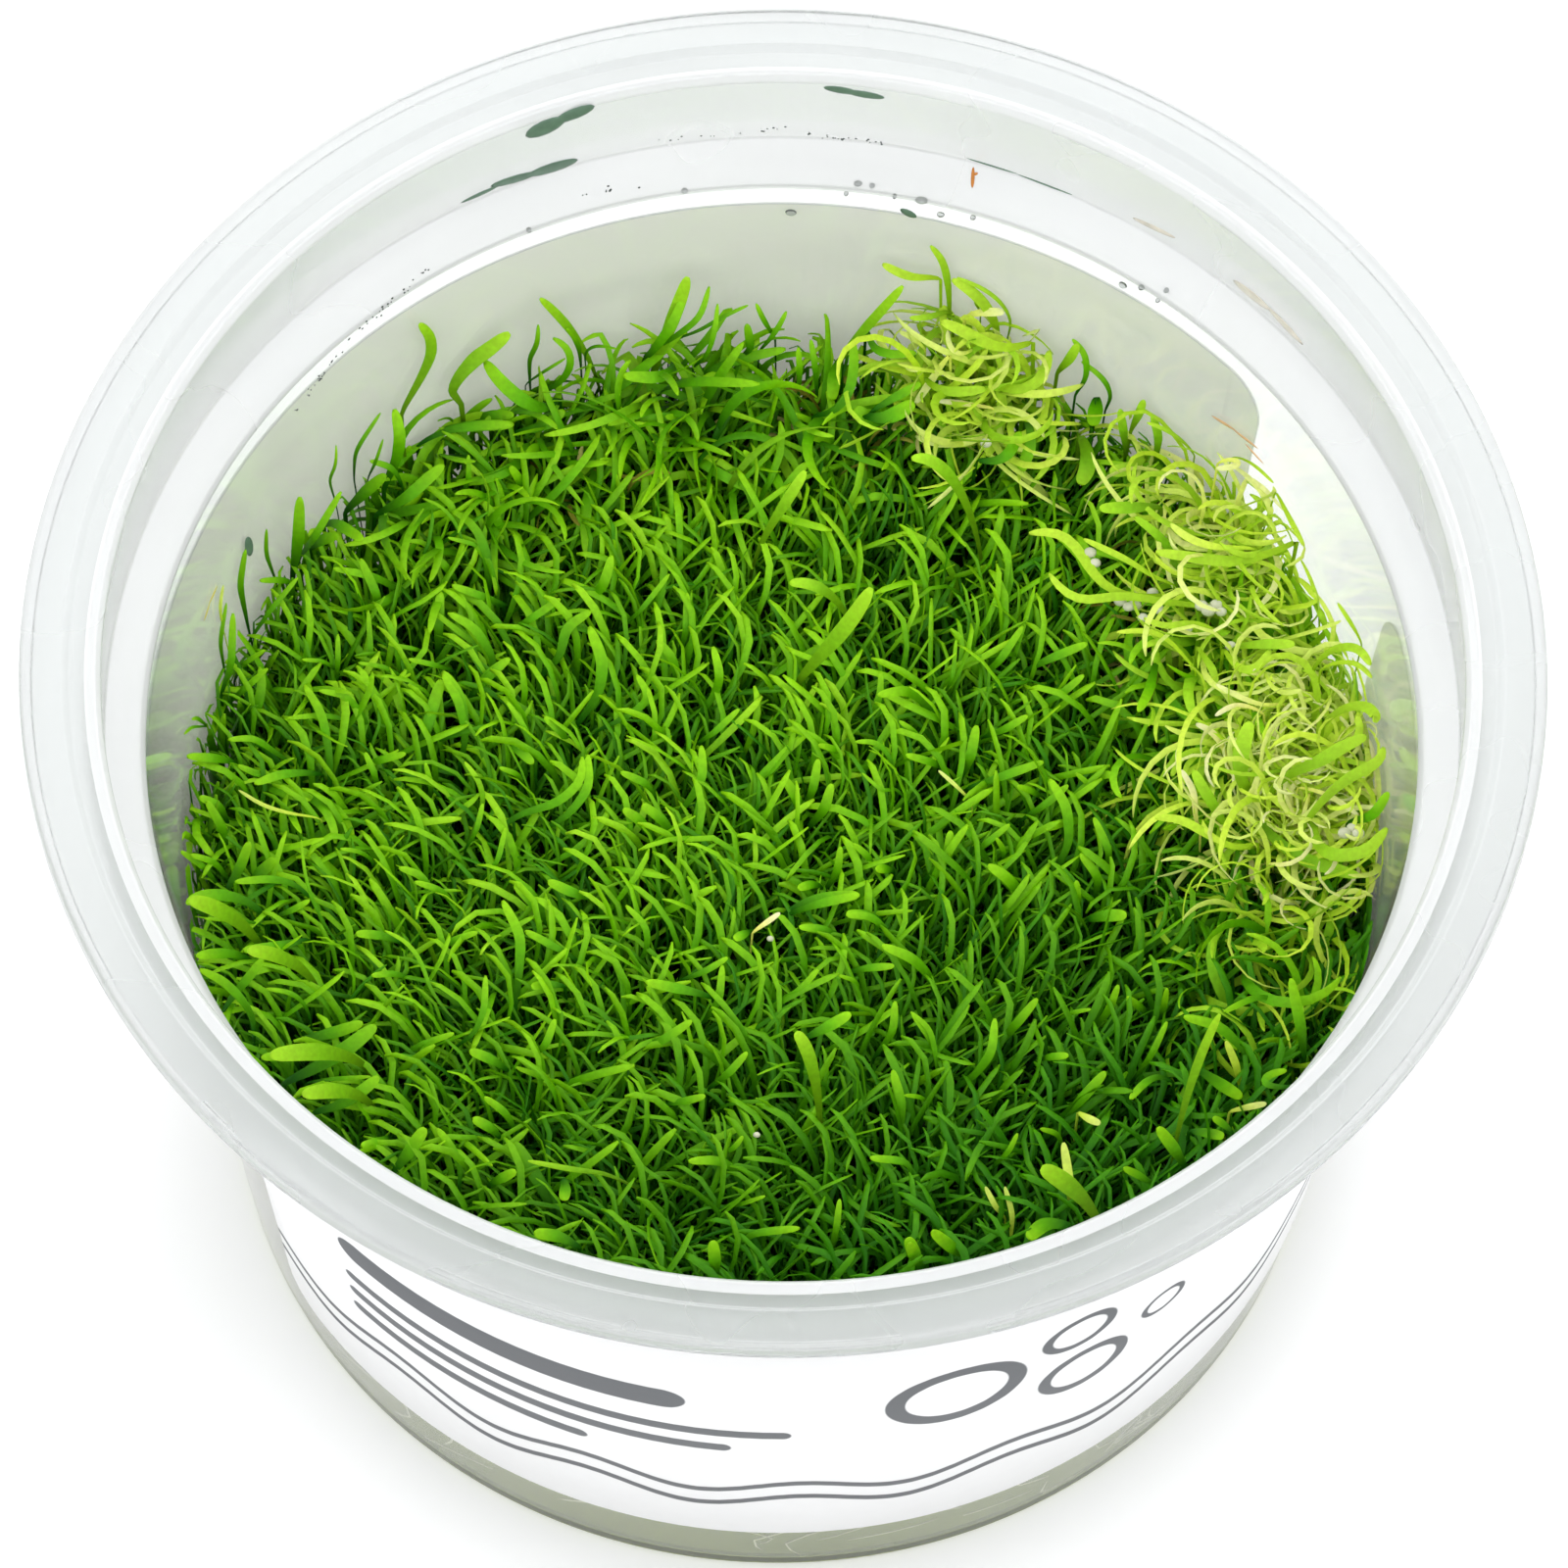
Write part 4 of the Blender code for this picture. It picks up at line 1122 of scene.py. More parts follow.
views["low"] = (480, 900), 3.267, [
    (1.1, 0.62, 38, 40, (1105, 522), (1180, 490), (1268, 438)),
    (1.0, 0.6, 30, 35, (140, 475), (160, 330), (170, 180), (107, 62)),
    (0.8, 0.6, 32, 34, (375, 272), (280, 215), (182, 163)),
    (1.0, 0.58, 31, 34, (275, 165), (220, 80), (147, 8)),
    (1.0, 0.6, 32, 34, (425, 55), (350, 40), (258, -3)),
    (0.7, 0.55, 30, 34, (535, 295), (590, 230), (590, 150), (518, 78)),
    (1.0, 0.6, 33, 35, (818, 387), (740, 365), (585, 333)),
    (0.7, 0.55, 32, 34, (685, 332), (780, 300), (858, 252)),
    (0.9, 0.62, 33, 34, (323, 346), (260, 340), (202, 349)),
    (0.9, 0.55, 31, 34, (545, 552), (640, 530), (738, 462)),
    (0.8, 0.55, 30, 34, (750, 495), (830, 400), (840, 277)),
    (0.7, 0.55, 31, 34, (610, 475), (630, 400), (588, 348)),
    (0.8, 0.58, 31, 34, (178, 592), (250, 550), (282, 457)),
    (1.0, 0.62, 32, 34, (133, 633), (70, 590), (-3, 562)),
    (0.6, 0.6, 31, 34, (313, 697), (240, 650), (152, 618)),
    (0.8, 0.6, 31, 34, (162, 853), (120, 770), (47, 717)),
    (1.0, 0.62, 32, 34, (105, 858), (70, 820), (8, 788)),
    (0.7, 0.55, 31, 34, (978, 412), (1090, 370), (1160, 292)),
    (0.9, 0.6, 32, 35, (1045, 112), (1150, 75), (1298, 43)),
    (0.6, 1.0, 34, 35, (932, 172), (980, 140), (1032, 103)),
    (0.9, 0.64, 33, 34, (940, 160), (910, 175), (878, 190)),
    (0.8, 0.6, 31, 34, (1422, 218), (1380, 150), (1330, 110), (1252, 110)),
    (1.0, 0.6, 30, 35, (1562, 405), (1530, 310), (1470, 250), (1372, 212)),
    (0.8, 0.58, 32, 34, (1243, 183), (1180, 155), (1095, 150)),
    (0.8, 0.55, 32, 34, (1245, 302), (1330, 285), (1413, 280)),
    (0.5, 0.56, 31, 34, (1300, 405), (1290, 330), (1227, 311)),
    (0.9, 0.55, 30, 34, (1430, 885), (1440, 740), (1408, 627)),
    (0.8, 0.56, 30, 34, (1338, 595), (1410, 500), (1416, 397)),
    (0.7, 0.56, 30, 35, (1560, 645), (1540, 530), (1472, 437)),
    (0.5, 0.56, 31, 34, (1553, 753), (1500, 715), (1447, 711)),
    (0.8, 0.6, 32, 34, (1482, 1005), (1460, 930), (1332, 920)),
    (0.9, 0.6, 31, 34, (912, 1045), (880, 950), (820, 925), (727, 931)),
    (0.6, 0.56, 32, 34, (828, 907), (880, 890), (908, 847)),
    (0.6, 0.7, 32, 35, (562, 1022), (450, 970), (350, 960), (192, 930)),
    (0.7, 0.56, 30, 34, (1190, 1265), (1220, 1160), (1231, 1057)),
    (0.8, 0.58, 31, 34, (858, 1242), (940, 1170), (1098, 1154)),
    (0.5, 0.56, 31, 34, (828, 1086), (900, 1075), (983, 1047)),
    (1.1, 0.62, 34, 33, (300, 978), (322, 1010), (310, 1063)),
    (1.2, 0.62, 33, 34, (373, 1222), (300, 1180), (212, 1170)),
    (1.3, 0.25, 30, 33, (300, 1150), (230, 1000), (148, 868)),
    (1.2, 0.62, 32, 35, (820, 1320), (815, 1260), (808, 1195)),
    (1.3, 0.62, 32, 35, (1505, 1300), (1480, 1240), (1458, 1185)),
    (1.0, 0.6, 32, 34, (57, 1012), (100, 990), (152, 963)),
    (0.8, 0.55, 32, 34, (637, 742), (720, 730), (783, 713)),
    (0.8, 0.52, 31, 34, (788, 693), (860, 640), (923, 567)),
]
views["middle"] = (400, 560), 4.356, [
    (1.15, 0.56, 30, 35, (800, 810), (920, 650), (940, 500), (877, 346)),
    (0.9, 0.58, 31, 35, (640, 1265), (780, 1190), (880, 1060), (870, 915)),
    (0.9, 0.58, 31, 35, (415, 1295), (560, 1180), (740, 1130), (850, 1030), (845, 925)),
    (1.0, 0.56, 30, 35, (300, 970), (330, 800), (300, 640), (227, 545)),
    (1.1, 0.48, 30, 34, (115, 970), (150, 800), (222, 585)),
    (0.9, 0.55, 30, 35, (460, 650), (450, 480), (370, 350), (252, 287)),
    (0.8, 0.56, 31, 34, (497, 382), (620, 310), (748, 222)),
    (0.8, 0.56, 31, 34, (505, 262), (400, 210), (267, 163)),
    (1.0, 0.45, 30, 34, (635, 585), (750, 480), (770, 350), (885, 276)),
    (1.0, 0.55, 30, 35, (815, 255), (940, 170), (977, 30)),
    (0.9, 0.55, 30, 34, (1240, 645), (1270, 560), (1240, 470), (1177, 406)),
    (0.9, 0.58, 30, 35, (1335, 785), (1440, 640), (1460, 560), (1427, 435)),
    (0.8, 0.56, 31, 34, (895, 815), (1020, 760), (1140, 680), (1140, 640), (1087, 560)),
    (0.8, 0.56, 31, 34, (337, 675), (420, 580), (524, 487)),
    (0.6, 0.58, 30, 34, (640, 1055), (640, 930), (590, 790), (508, 676)),
    (0.8, 0.56, 31, 34, (800, 905), (760, 820), (677, 747)),
    (1.0, 0.4, 32, 33, (465, 795), (540, 870), (628, 955)),
    (0.6, 0.5, 30, 34, (995, 375), (1110, 270), (1233, 112)),
    (0.8, 0.5, 30, 34, (1270, 485), (1310, 360), (1311, 195)),
    (0.8, 0.56, 31, 34, (1183, 1125), (1130, 1040), (1017, 993)),
    (0.9, 0.56, 30, 34, (1238, 1215), (1330, 1110), (1385, 1010), (1375, 875)),
    (1.0, 0.58, 31, 34, (1273, 1305), (1200, 1200), (1112, 1137)),
    (1.0, 0.58, 31, 34, (1172, 1310), (1110, 1210), (1027, 1157)),
    (0.7, 0.56, 31, 34, (1337, 875), (1430, 820), (1543, 712)),
    (0.6, 0.56, 31, 34, (593, 1065), (560, 1000), (477, 973)),
    (0.6, 0.68, 31, 35, (338, 1305), (410, 1130), (390, 1030), (322, 947)),
    (0.9, 0.5, 30, 34, (200, 490), (205, 340), (210, 195)),
    (0.8, 0.56, 31, 34, (303, 163), (240, 80), (177, 17)),
]
views["centreRight"] = (800, 640), 4.356, [
    (1.0, 0.58, 30, 35, (680, 490), (660, 380), (580, 290), (520, 280), (417, 302)),
    (0.7, 0.52, 30, 34, (318, 495), (400, 390), (430, 290), (430, 195)),
    (0.45, 0.5, 31, 34, (585, 825), (500, 710), (440, 735), (347, 648)),
    (0.6, 0.56, 31, 34, (460, 705), (490, 620), (450, 540), (400, 505), (317, 510)),
    (0.7, 0.58, 31, 34, (273, 593), (230, 540), (152, 524)),
    (0.5, 0.5, 30, 34, (695, 325), (750, 230), (765, 55)),
    (0.8, 0.5, 30, 35, (845, 245), (960, 150), (1062, -5)),
    (0.9, 0.56, 31, 34, (1055, 202), (1180, 140), (1348, 72)),
    (0.8, 0.54, 31, 34, (1085, 375), (1230, 300), (1333, 212)),
    (0.8, 0.58, 31, 34, (875, 492), (980, 455), (1083, 393)),
    (0.9, 0.56, 31, 34, (795, 722), (950, 670), (1153, 598)),
    (1.0, 0.54, 30, 34, (775, 690), (830, 580), (856, 436)),
    (0.6, 0.56, 31, 34, (620, 555), (590, 470), (512, 417)),
    (0.8, 0.58, 31, 34, (715, 634), (660, 600), (542, 568)),
    (0.45, 0.85, 32, 34, (843, 783), (760, 700), (687, 637)),
    (1.0, 0.58, 30, 35, (1175, 1140), (1270, 960), (1260, 800), (1182, 676)),
    (0.7, 0.56, 31, 34, (1163, 773), (1110, 730), (1037, 706)),
    (0.8, 0.52, 31, 34, (1045, 863), (1160, 790), (1263, 702)),
    (1.0, 0.54, 30, 34, (615, 1140), (730, 1020), (740, 905)),
    (1.1, 0.6, 30, 35, (1062, 1300), (1050, 1180), (990, 1110), (907, 1057)),
    (1.2, 0.6, 32, 34, (-5, 1272), (130, 1210), (333, 1190)),
    (1.0, 0.6, 32, 34, (443, 1303), (370, 1280), (277, 1274)),
    (1.0, 0.56, 30, 34, (70, 890), (60, 760), (-3, 666)),
    (0.9, 0.56, 30, 34, (78, 835), (130, 720), (152, 586)),
    (1.0, 0.56, 30, 34, (97, 905), (180, 810), (212, 696)),
    (0.8, 0.52, 30, 34, (175, 1185), (240, 1080), (251, 975)),
    (0.8, 0.52, 30, 34, (1420, 1125), (1450, 1000), (1377, 846)),
    (0.9, 0.54, 30, 34, (1378, 1235), (1400, 1110), (1317, 1006)),
    (0.8, 0.5, 30, 34, (1300, 1295), (1305, 1210), (1300, 1126)),
    (1.2, 0.58, 32, 34, (1335, 1302), (1430, 1280), (1523, 1280)),
    (0.6, 0.52, 31, 34, (1382, 795), (1370, 710), (1297, 648)),
    (0.9, 0.56, 32, 34, (1347, 666), (1400, 655), (1458, 655)),
    (0.7, 0.5, 31, 34, (797, 1043), (900, 960), (1003, 876)),
    (0.6, 0.52, 31, 34, (970, 1055), (980, 990), (943, 937)),
    (0.7, 0.54, 31, 34, (400, 1105), (380, 1020), (307, 963)),
    (0.9, 0.58, 32, 34, (493, 1083), (450, 1072), (407, 1077)),
    (0.9, 0.58, 32, 34, (173, 1152), (120, 1140), (62, 1162)),
]


def fromPhoto(x, y, height):          # the place in mm under a pixel of the photograph, at a height
    camera = bpy.context.scene.camera.matrix_world
    focus = studio["lens"] / studio["sensor"] * studio["photoSize"]
    half = studio["photoSize"] / 2
    way = camera.to_3x3() @ Vector(((x - half) / focus, (half - y) / focus, -1.0))
    eye = camera.translation / mm
    return eye + way * ((height - eye.z) / way.z)


def smoothLine(points, stations):     # through the points with rounded bends; a stalk leads to the second
    run = np.concatenate([[0], np.cumsum(np.linalg.norm(np.diff(points, axis=0), axis=1))])
    fine = np.linspace(0, run[-1], blade["fineSteps"] + 1)
    line = np.stack([np.interp(fine, run, points[:, axis]) for axis in range(3)], 1)
    for again in range(blade["softening"]):
        line[1:-1] = (line[:-2] + 2 * line[1:-1] + line[2:]) / 4
    places = np.interp(stations, (0, blade["stalk"], 1), (0, run[1], run[-1]))
    return np.stack([np.interp(places, fine, line[:, axis]) for axis in range(3)], 1)


def growSeenLeaves(beds):
    form = makeForm(4, "long")
    grown = []
    for view, (corner, enlarged, leaves) in views.items():
        for width, tone, low, high, *trace in leaves:
            ease = np.sin(np.linspace(0, math.pi / 2, len(trace)))
            heights = low + (high - low) * ease
            spots = [fromPhoto(corner[0] + x / enlarged, corner[1] + y / enlarged, height)
                     for (x, y), height in zip(trace, heights)]
            spots.insert(0, Vector((*spots[0].xy, turf["rootHeight"])))
            tone *= 1.0 if "pale" in view or tone > turf["paleFrom"] else turf["greener"]
            width *= blade["slim"] + blade["slimmer"] * min(width, 1.0)
            line = smoothLine(clearOfWall(np.array(spots), width), form["stations"])
            line = clearOfWall(line, width)
            sides = np.cross(np.gradient(line, axis=0), blade["faceUp"])
            points = sweep(form, line[None], sides[None], np.array([width]))
            grown.append((points, tone, line[0, :2]))
    points, tone, roots = zip(*grown)
    sowBatch(beds, {"form": form, "points": np.concatenate(points), "tone": np.array(tone),
                    "from": 0.0, "roots": np.array(roots)}, "top")
    print("leaves placed from the photograph:", len(grown))


# Tangles of curled leaves, pale in the tufts and fresh green along the wall: places and sizes in mm, the
# swirl in degrees
tangleKeys = ("middle", "spread", "low", "count", "rise", "length", "width", "tone", "curl")
tangles = [
    ((35.2, 4.5), (1.8, 3.6), 31, 260, (3, 8), (7, 14), (0.24, 0.46), (0.68, 1.0), (90, 330)),
    ((34.5, 9.0), (2.6, 7.5), 29, 330, (4, 9), (8, 16), (0.26, 0.56), (0.6, 0.84), (50, 260)),
    ((30.8, 24.0), (1.9, 3.0), 32, 120, (4, 8), (7, 15), (0.26, 0.54), (0.62, 0.94), (60, 300)),
    ((13.4, 35.5), (2.3, 1.9), 32, 120, (4, 8.5), (7, 15), (0.28, 0.62), (0.58, 0.88), (60, 280)),
    ((31.0, 16.0), (3.2, 4.0), 29, 110, (4, 7), (6, 12), (0.4, 0.8), (0.4, 0.66), (40, 180)),
    ((33.0, -7.0), (2.5, 3.5), 27, 60, (5, 9), (8, 14), (0.4, 0.8), (0.42, 0.64), (40, 180)),
    ((-8.0, 34.0), (7.0, 1.8), 29, 130, (4, 8), (6, 12), (0.4, 0.8), (0.3, 0.56), (20, 120)),
    ((-23.0, 26.5), (4.5, 3.0), 28, 90, (4, 7.5), (6, 12), (0.4, 0.8), (0.3, 0.54), (20, 120)),
    ((-35.0, 6.0), (1.6, 8.0), 27, 70, (3, 6), (5, 10), (0.4, 0.7), (0.3, 0.5), (20, 120)),
]
# How the leaves of every tangle grow: angles in degrees
curls = {
    "above": (-1, 3),                 # mm that a root is off the tangle's height
    "wallGap": 1.2,
    "leftward": 0.6,                  # share of the leaves that swirl to the left
    "lean": (0, 50),
    "bend": (40, 130),
    "late": (0.5, 1.6),
    "delay": 1.3,
    "roll": 25,
    "twist": 60,
    "colourFrom": 0.35,               # a leaf starts with the colour that is this far up
}


def curlBatch(rng, form, tangle):
    count = tangle["count"]
    spots = np.array(tangle["middle"]) + rng.normal(0, 1, (count, 2)) * tangle["spread"]
    roots = np.column_stack([spots, np.full(count, tangle["low"]) + rng.uniform(*curls["above"], count)])
    roots = keepInWall(roots, curls["wallGap"])
    way = np.where(rng.random(count) < curls["leftward"], 1, -1)
    habit = {
        "width": rng.uniform(*tangle["width"], count),
        "rise": rng.uniform(*tangle["rise"], count),
        "lean": np.radians(rng.uniform(*curls["lean"], count)),
        "bend": np.radians(rng.uniform(*curls["bend"], count)),
        "late": rng.uniform(*curls["late"], count),
        "facing": rng.uniform(0, 2 * math.pi, count),
        "swirl": np.radians(rng.uniform(*tangle["curl"], count)) * way,
        "delay": curls["delay"],
        "roll": np.radians(rng.normal(0, curls["roll"], count)),
        "twist": np.radians(rng.normal(0, curls["twist"], count)),
        "longest": rng.uniform(*tangle["length"], count),
    }
    return growBatch(form, roots, habit, rng.uniform(*tangle["tone"], count), curls["colourFrom"])


def growTangles(rng, beds):
    form = makeForm(4, "curl")
    plans = [dict(zip(tangleKeys, values)) for values in tangles]
    for plan in plans:
        sowBatch(beds, curlBatch(rng, form, plan), "top")
    print("tangle leaves grown:", sum(plan["count"] for plan in plans))


# Old brown leaves in the turf: x, y in px of the photograph, spread in mm, count, height of their roots
oldGrowth = {
    "stops": [(0.0, tint(104, 104, 28)), (0.6, tint(150, 152, 54)), (1.0, tint(206, 204, 124))],
    "patches": [(812, 420, 2.2, 20, 28.0), (850, 405, 2.0, 18, 28.5), (885, 440, 2.0, 14, 28.0),
                (942, 447, 1.2, 8, 28.5), (1150, 655, 2.2, 24, 28.0), (1195, 575, 2.2, 24, 28.0),
                (1240, 500, 1.6, 14, 29.0), (600, 505, 1.4, 6, 29.0)],
    "above": 2,                       # mm over the roots at which a patch shows in its place
    "leaf": {"rise": (2, 5.5), "length": (2.5, 5.5), "width": (0.3, 0.5), "tone": (0, 1), "curl": (10, 80)},
}


def makeOldLeaves(rng):
    form = makeForm(3, "curl")
    batches = []
    for x, y, spread, count, low in oldGrowth["patches"]:
        middle = fromPhoto(x, y, low + oldGrowth["above"]).xy
        plan = dict(oldGrowth["leaf"], middle=middle, spread=(spread, spread), count=count, low=low)
        batches.append(curlBatch(rng, form, plan))
    paint = Finish("oldLeaf")
    shade = paint.ramp(oldGrowth["stops"], paint.leafPlace()[0])
    finish = paint.surface({"Base Color": shade, "Roughness": 0.6, "Specular IOR Level": 0.15})
    addPiece("old_leaves", joinBatches("old_leaves", batches), [finish])
    print("old leaves grown:", sum(patch[3] for patch in oldGrowth["patches"]))


def makeLeaves():
    rng = np.random.default_rng(turf["seed"])
    beds = {}
    growTurf(rng, beds)
    growStems(rng, beds)
    growSeenLeaves(beds)
    growTangles(rng, beds)
    green = leafFinish("leafGreen")
    pale = leafFinish("leafPale")
    pieces = []
    for (bed, node), batches in beds.items():
        slot = growths[node]["slot"] if node in growths else "leaf"
        paint = pale if slot == "pale_leaf" else green
        pieces.append(addPiece(bed, joinBatches(bed, batches), [paint], [node]))
    return green, pieces


# Single long leaves, in mm: where each leaves the turf, its tip, its width, and how far its middle
# rises and bows to the left of the way from root to tip
longLeaves = [
    ((13.6, 24.1), (8.4, 26.0, 42.0), 0.96, 4.5, -1.5),
    ((-2.5, 23.4), (1.2, 26.0, 40.0), 0.88, 1.0, -0.8),
    ((0.0, 13.3), (5.8, 15.9, 42.0), 1.28, -0.5, -1.6),
    ((4.9, 18.6), (0.3, 18.9, 37.0), 0.88, 2.5, 0.0),
    ((-10.0, 36.4), (-7.1, 39.6, 42.5), 1.12, 0.5, -0.6),
    ((-25.6, 29.6), (-25.1, 33.0, 47.0), 0.88, 0.5, -1.5),
    ((-22.6, 31.0), (-18.9, 35.0, 41.5), 1.20, 2.5, 0.8),
    ((-12.8, 37.0), (-17.1, 36.8, 44.0), 0.72, 0.5, -0.4),
    ((2.2, 37.6), (7.6, 38.6, 43.6), 0.80, -0.6, -0.3),
    ((3.2, -20.5), (1.3, -18.0, 42.0), 1.04, 2.8, -0.6),
    ((22.4, -27.2), (17.8, -26.2, 39.0), 1.44, 1.6, 0.3),
    ((26.6, -22.2), (29.5, -16.5, 43.0), 0.72, 0.6, 0.6),
    ((-26.7, -16.1), (-33.6, -20.3, 41.5), 1.36, 1.8, 0.4),
    ((-26.4, -19.0), (-31.4, -22.6, 40.4), 1.20, 1.4, 0.2),
    ((-34.2, -7.6), (-39.4, -9.0, 42.0), 1.28, 1.6, 0.0),
    ((-30.5, -10.2), (-35.4, -12.2, 41.0), 1.12, 1.5, 0.0),
]
# Numbers of the long leaves that follow a line in the photograph: the line's lowest height, and its
# places in px from the turf to the tip
seenLines = {
    6: (38.5, [(400, 417), (419, 382), (441, 362), (440, 343), (427, 329)]),
    7: (36.5, [(473, 413), (457, 398), (464, 378), (492, 362), (520, 340)]),
}
longLeaf = {
    "foot": 27.0,
    "neck": 1.2,                      # mm above the turf's top at which a leaf starts to lean
    "tone": 0.55,
    "colourFrom": 0.1,
}


def makeLongLeaves(leafPaint):
    form = makeForm(6, "long")
    part = form["stations"][:, None]
    for number, (root, tip, width, rise, bow) in enumerate(longLeaves, start=1):
        name = f"long_leaf_{number:02d}"
        foot = np.array((*root, longLeaf["foot"]))
        neck = np.array((*root, turf["top"] + longLeaf["neck"]))
        tip = np.array(tip, float)
        left = unit(np.array((neck[1] - tip[1], tip[0] - neck[0], 0.0)))
        middle = (neck + tip) / 2 + left * bow + np.array((0, 0, rise))
        line = ((1 - part) ** 3 * foot + 3 * part * (1 - part) ** 2 * neck
                + 3 * part ** 2 * (1 - part) * middle + part ** 3 * tip)
        if number in seenLines:
            low, trace = seenLines[number]
            heights = np.linspace(low, tip[2], len(trace))
            spots = [fromPhoto(x, y, height) for (x, y), height in zip(trace, heights)]
            spots.insert(0, Vector((*spots[0].xy, longLeaf["foot"])))
            line = smoothLine(np.array(spots), form["stations"])
        sides = np.cross(np.gradient(line, axis=0), blade["faceUp"])
        width = np.array([width])
        line = clearOfWall(line, width)
        batch = {"form": form, "points": sweep(form, line[None], sides[None], width),
                 "tone": np.array([longLeaf["tone"]]), "from": longLeaf["colourFrom"]}
        addPiece(name + "_blade", joinBatches(name + "_blade", [batch]), [leafPaint], [name])
    print("long leaves made:", len(longLeaves))


# Gel, in mm
gel = {
    "low": 0.96,
    "top": 19.5,
    "heel": 0.45,
    "gap": 0.12,
    "meniscus": 0.9,
    "curve": [(1.4, 0.2), (4.0, 0)],   # the meniscus further in: distance to the wall, and height
    "steps": 128,
    "edgeRound": 0.3,
    "sharpTurn": 25,
    "grain": 160.0,
    "tint": tint(112, 126, 36),
    "cloud": tint(140, 152, 60),
}


def gelFinish():
    paint = Finish("nutrientGel")
    shade = paint.blend(paint.noise(gel["grain"], 4.0), gel["tint"], gel["cloud"])
    return paint.surface({"Base Color": shade, "Roughness": 0.3, "Specular IOR Level": 0.0})


def makeGel():
    low, top, gap, heel = gel["low"], gel["top"], gel["gap"], gel["heel"]
    outline = [
        (0, low),
        (wallInside(low) - gap - heel, low),
        (wallInside(low + heel) - gap, low + heel),
        (wallInside(top + gel["meniscus"]) - gap, top + gel["meniscus"]),
    ]
    outline += [(wallInside(top) - inward, top + rise) for inward, rise in gel["curve"]]
    outline.append((0, top))
    bm = spinOutline(outline, gel["steps"])
    roundRings(bm, gel["edgeRound"], gel["sharpTurn"])
    addPiece("gel_layer", toMesh("gel_layer", bm), [gelFinish()], ["nutrient_gel"])
    print("gel made")


# Roots that show where the gel touches the wall, in mm
threads = {
    "count": 160,
    "tint": tint(226, 230, 186),
    "wander": 0.12,                   # radians round the wall, as is the bow
    "bow": 0.05,
    "start": (2.5, 17.5),
    "climb": (-6, 4),
    "lowest": 1.6,
    "depth": 0.4,                     # least depth under the gel's top
    "gapShare": 0.4,                  # where they lie in the gap between gel and wall
    "width": (0.12, 0.26),
    "wallGap": 0.03,
}


def growThreads(rng):
    form = makeForm(3, "plain")
    count, part = threads["count"], form["stations"]
    turn = rng.uniform(0, 2 * math.pi, count)[:, None]
    turn = turn + np.outer(rng.normal(0, threads["wander"], count), part)
    bow = np.outer(rng.normal(0, threads["bow"], count), np.sin(part * math.pi))
    height = rng.uniform(*threads["start"], count)[:, None]
    height = height + np.outer(rng.uniform(*threads["climb"], count), part)
    height = np.clip(height, threads["lowest"], gel["top"] - threads["depth"])
    radius = wallInside(height) - gel["gap"] * threads["gapShare"]
    lines = np.stack([radius * np.cos(turn + bow), radius * np.sin(turn + bow), height], -1)
    sides = np.cross(np.gradient(lines, axis=1), lines * (1, 1, 0))
    width = rng.uniform(*threads["width"], count)
    points = keepInWall(sweep(form, lines, sides, width), threads["wallGap"])
    batch = {"form": form, "points": points, "tone": np.zeros(count), "from": 0.0}
    finish = mottledFinish("rootThread", threads["tint"], 500.0, {"Roughness": 0.4})
    addPiece("root_threads", joinBatches("root_threads", [batch]), [finish])
    print("root threads grown:", count)


# The felt of runners on the gel, in mm
felt = {
    "lift": 0.25,                     # above the gel
    "level": 21.0,                    # where its edge is measured
    "wallGap": 0.3,
    "underside": [(4.6, 0), (1.6, 0.35), (0.1, 1.0)],   # distance to its edge, and height
    "top": 21.8,
    "uneven": 0.3,
    "rings": 12,
    "steps": 96,
    "grain": 220.0,
    "relief": 0.4 * mm,
    "stops": [(0.3, tint(24, 38, 8)), (0.55, tint(52, 74, 20)), (0.75, tint(100, 92, 46))],
}


def feltFinish():
    paint = Finish("runnerFelt")
    patches = paint.noise(felt["grain"], 5.0)
    return paint.surface({
        "Base Color": paint.ramp(felt["stops"], patches),
        "Roughness": 0.7,
        "Normal": paint.bump(patches, felt["relief"]),
    })


def makeFelt():
    low = gel["top"] + felt["lift"]
    edge = wallInside(felt["level"]) - felt["wallGap"]
    outline = [(0, low)]
    outline += [(edge - inward, low + rise) for inward, rise in felt["underside"]]
    outline += [(edge * (1 - ring / felt["rings"]), felt["top"]) for ring in range(felt["rings"] + 1)]
    bm = spinOutline(outline, felt["steps"])
    rng = np.random.default_rng(turf["seed"])
    for vert in bm.verts:
        if vert.co.z > (felt["top"] - felt["uneven"]) * mm:
            vert.co.z += rng.uniform(-felt["uneven"], felt["uneven"]) * mm
    addPiece("runner_felt", toMesh("runner_felt", bm), [feltFinish()], ["runner_mat"])
    print("felt made")
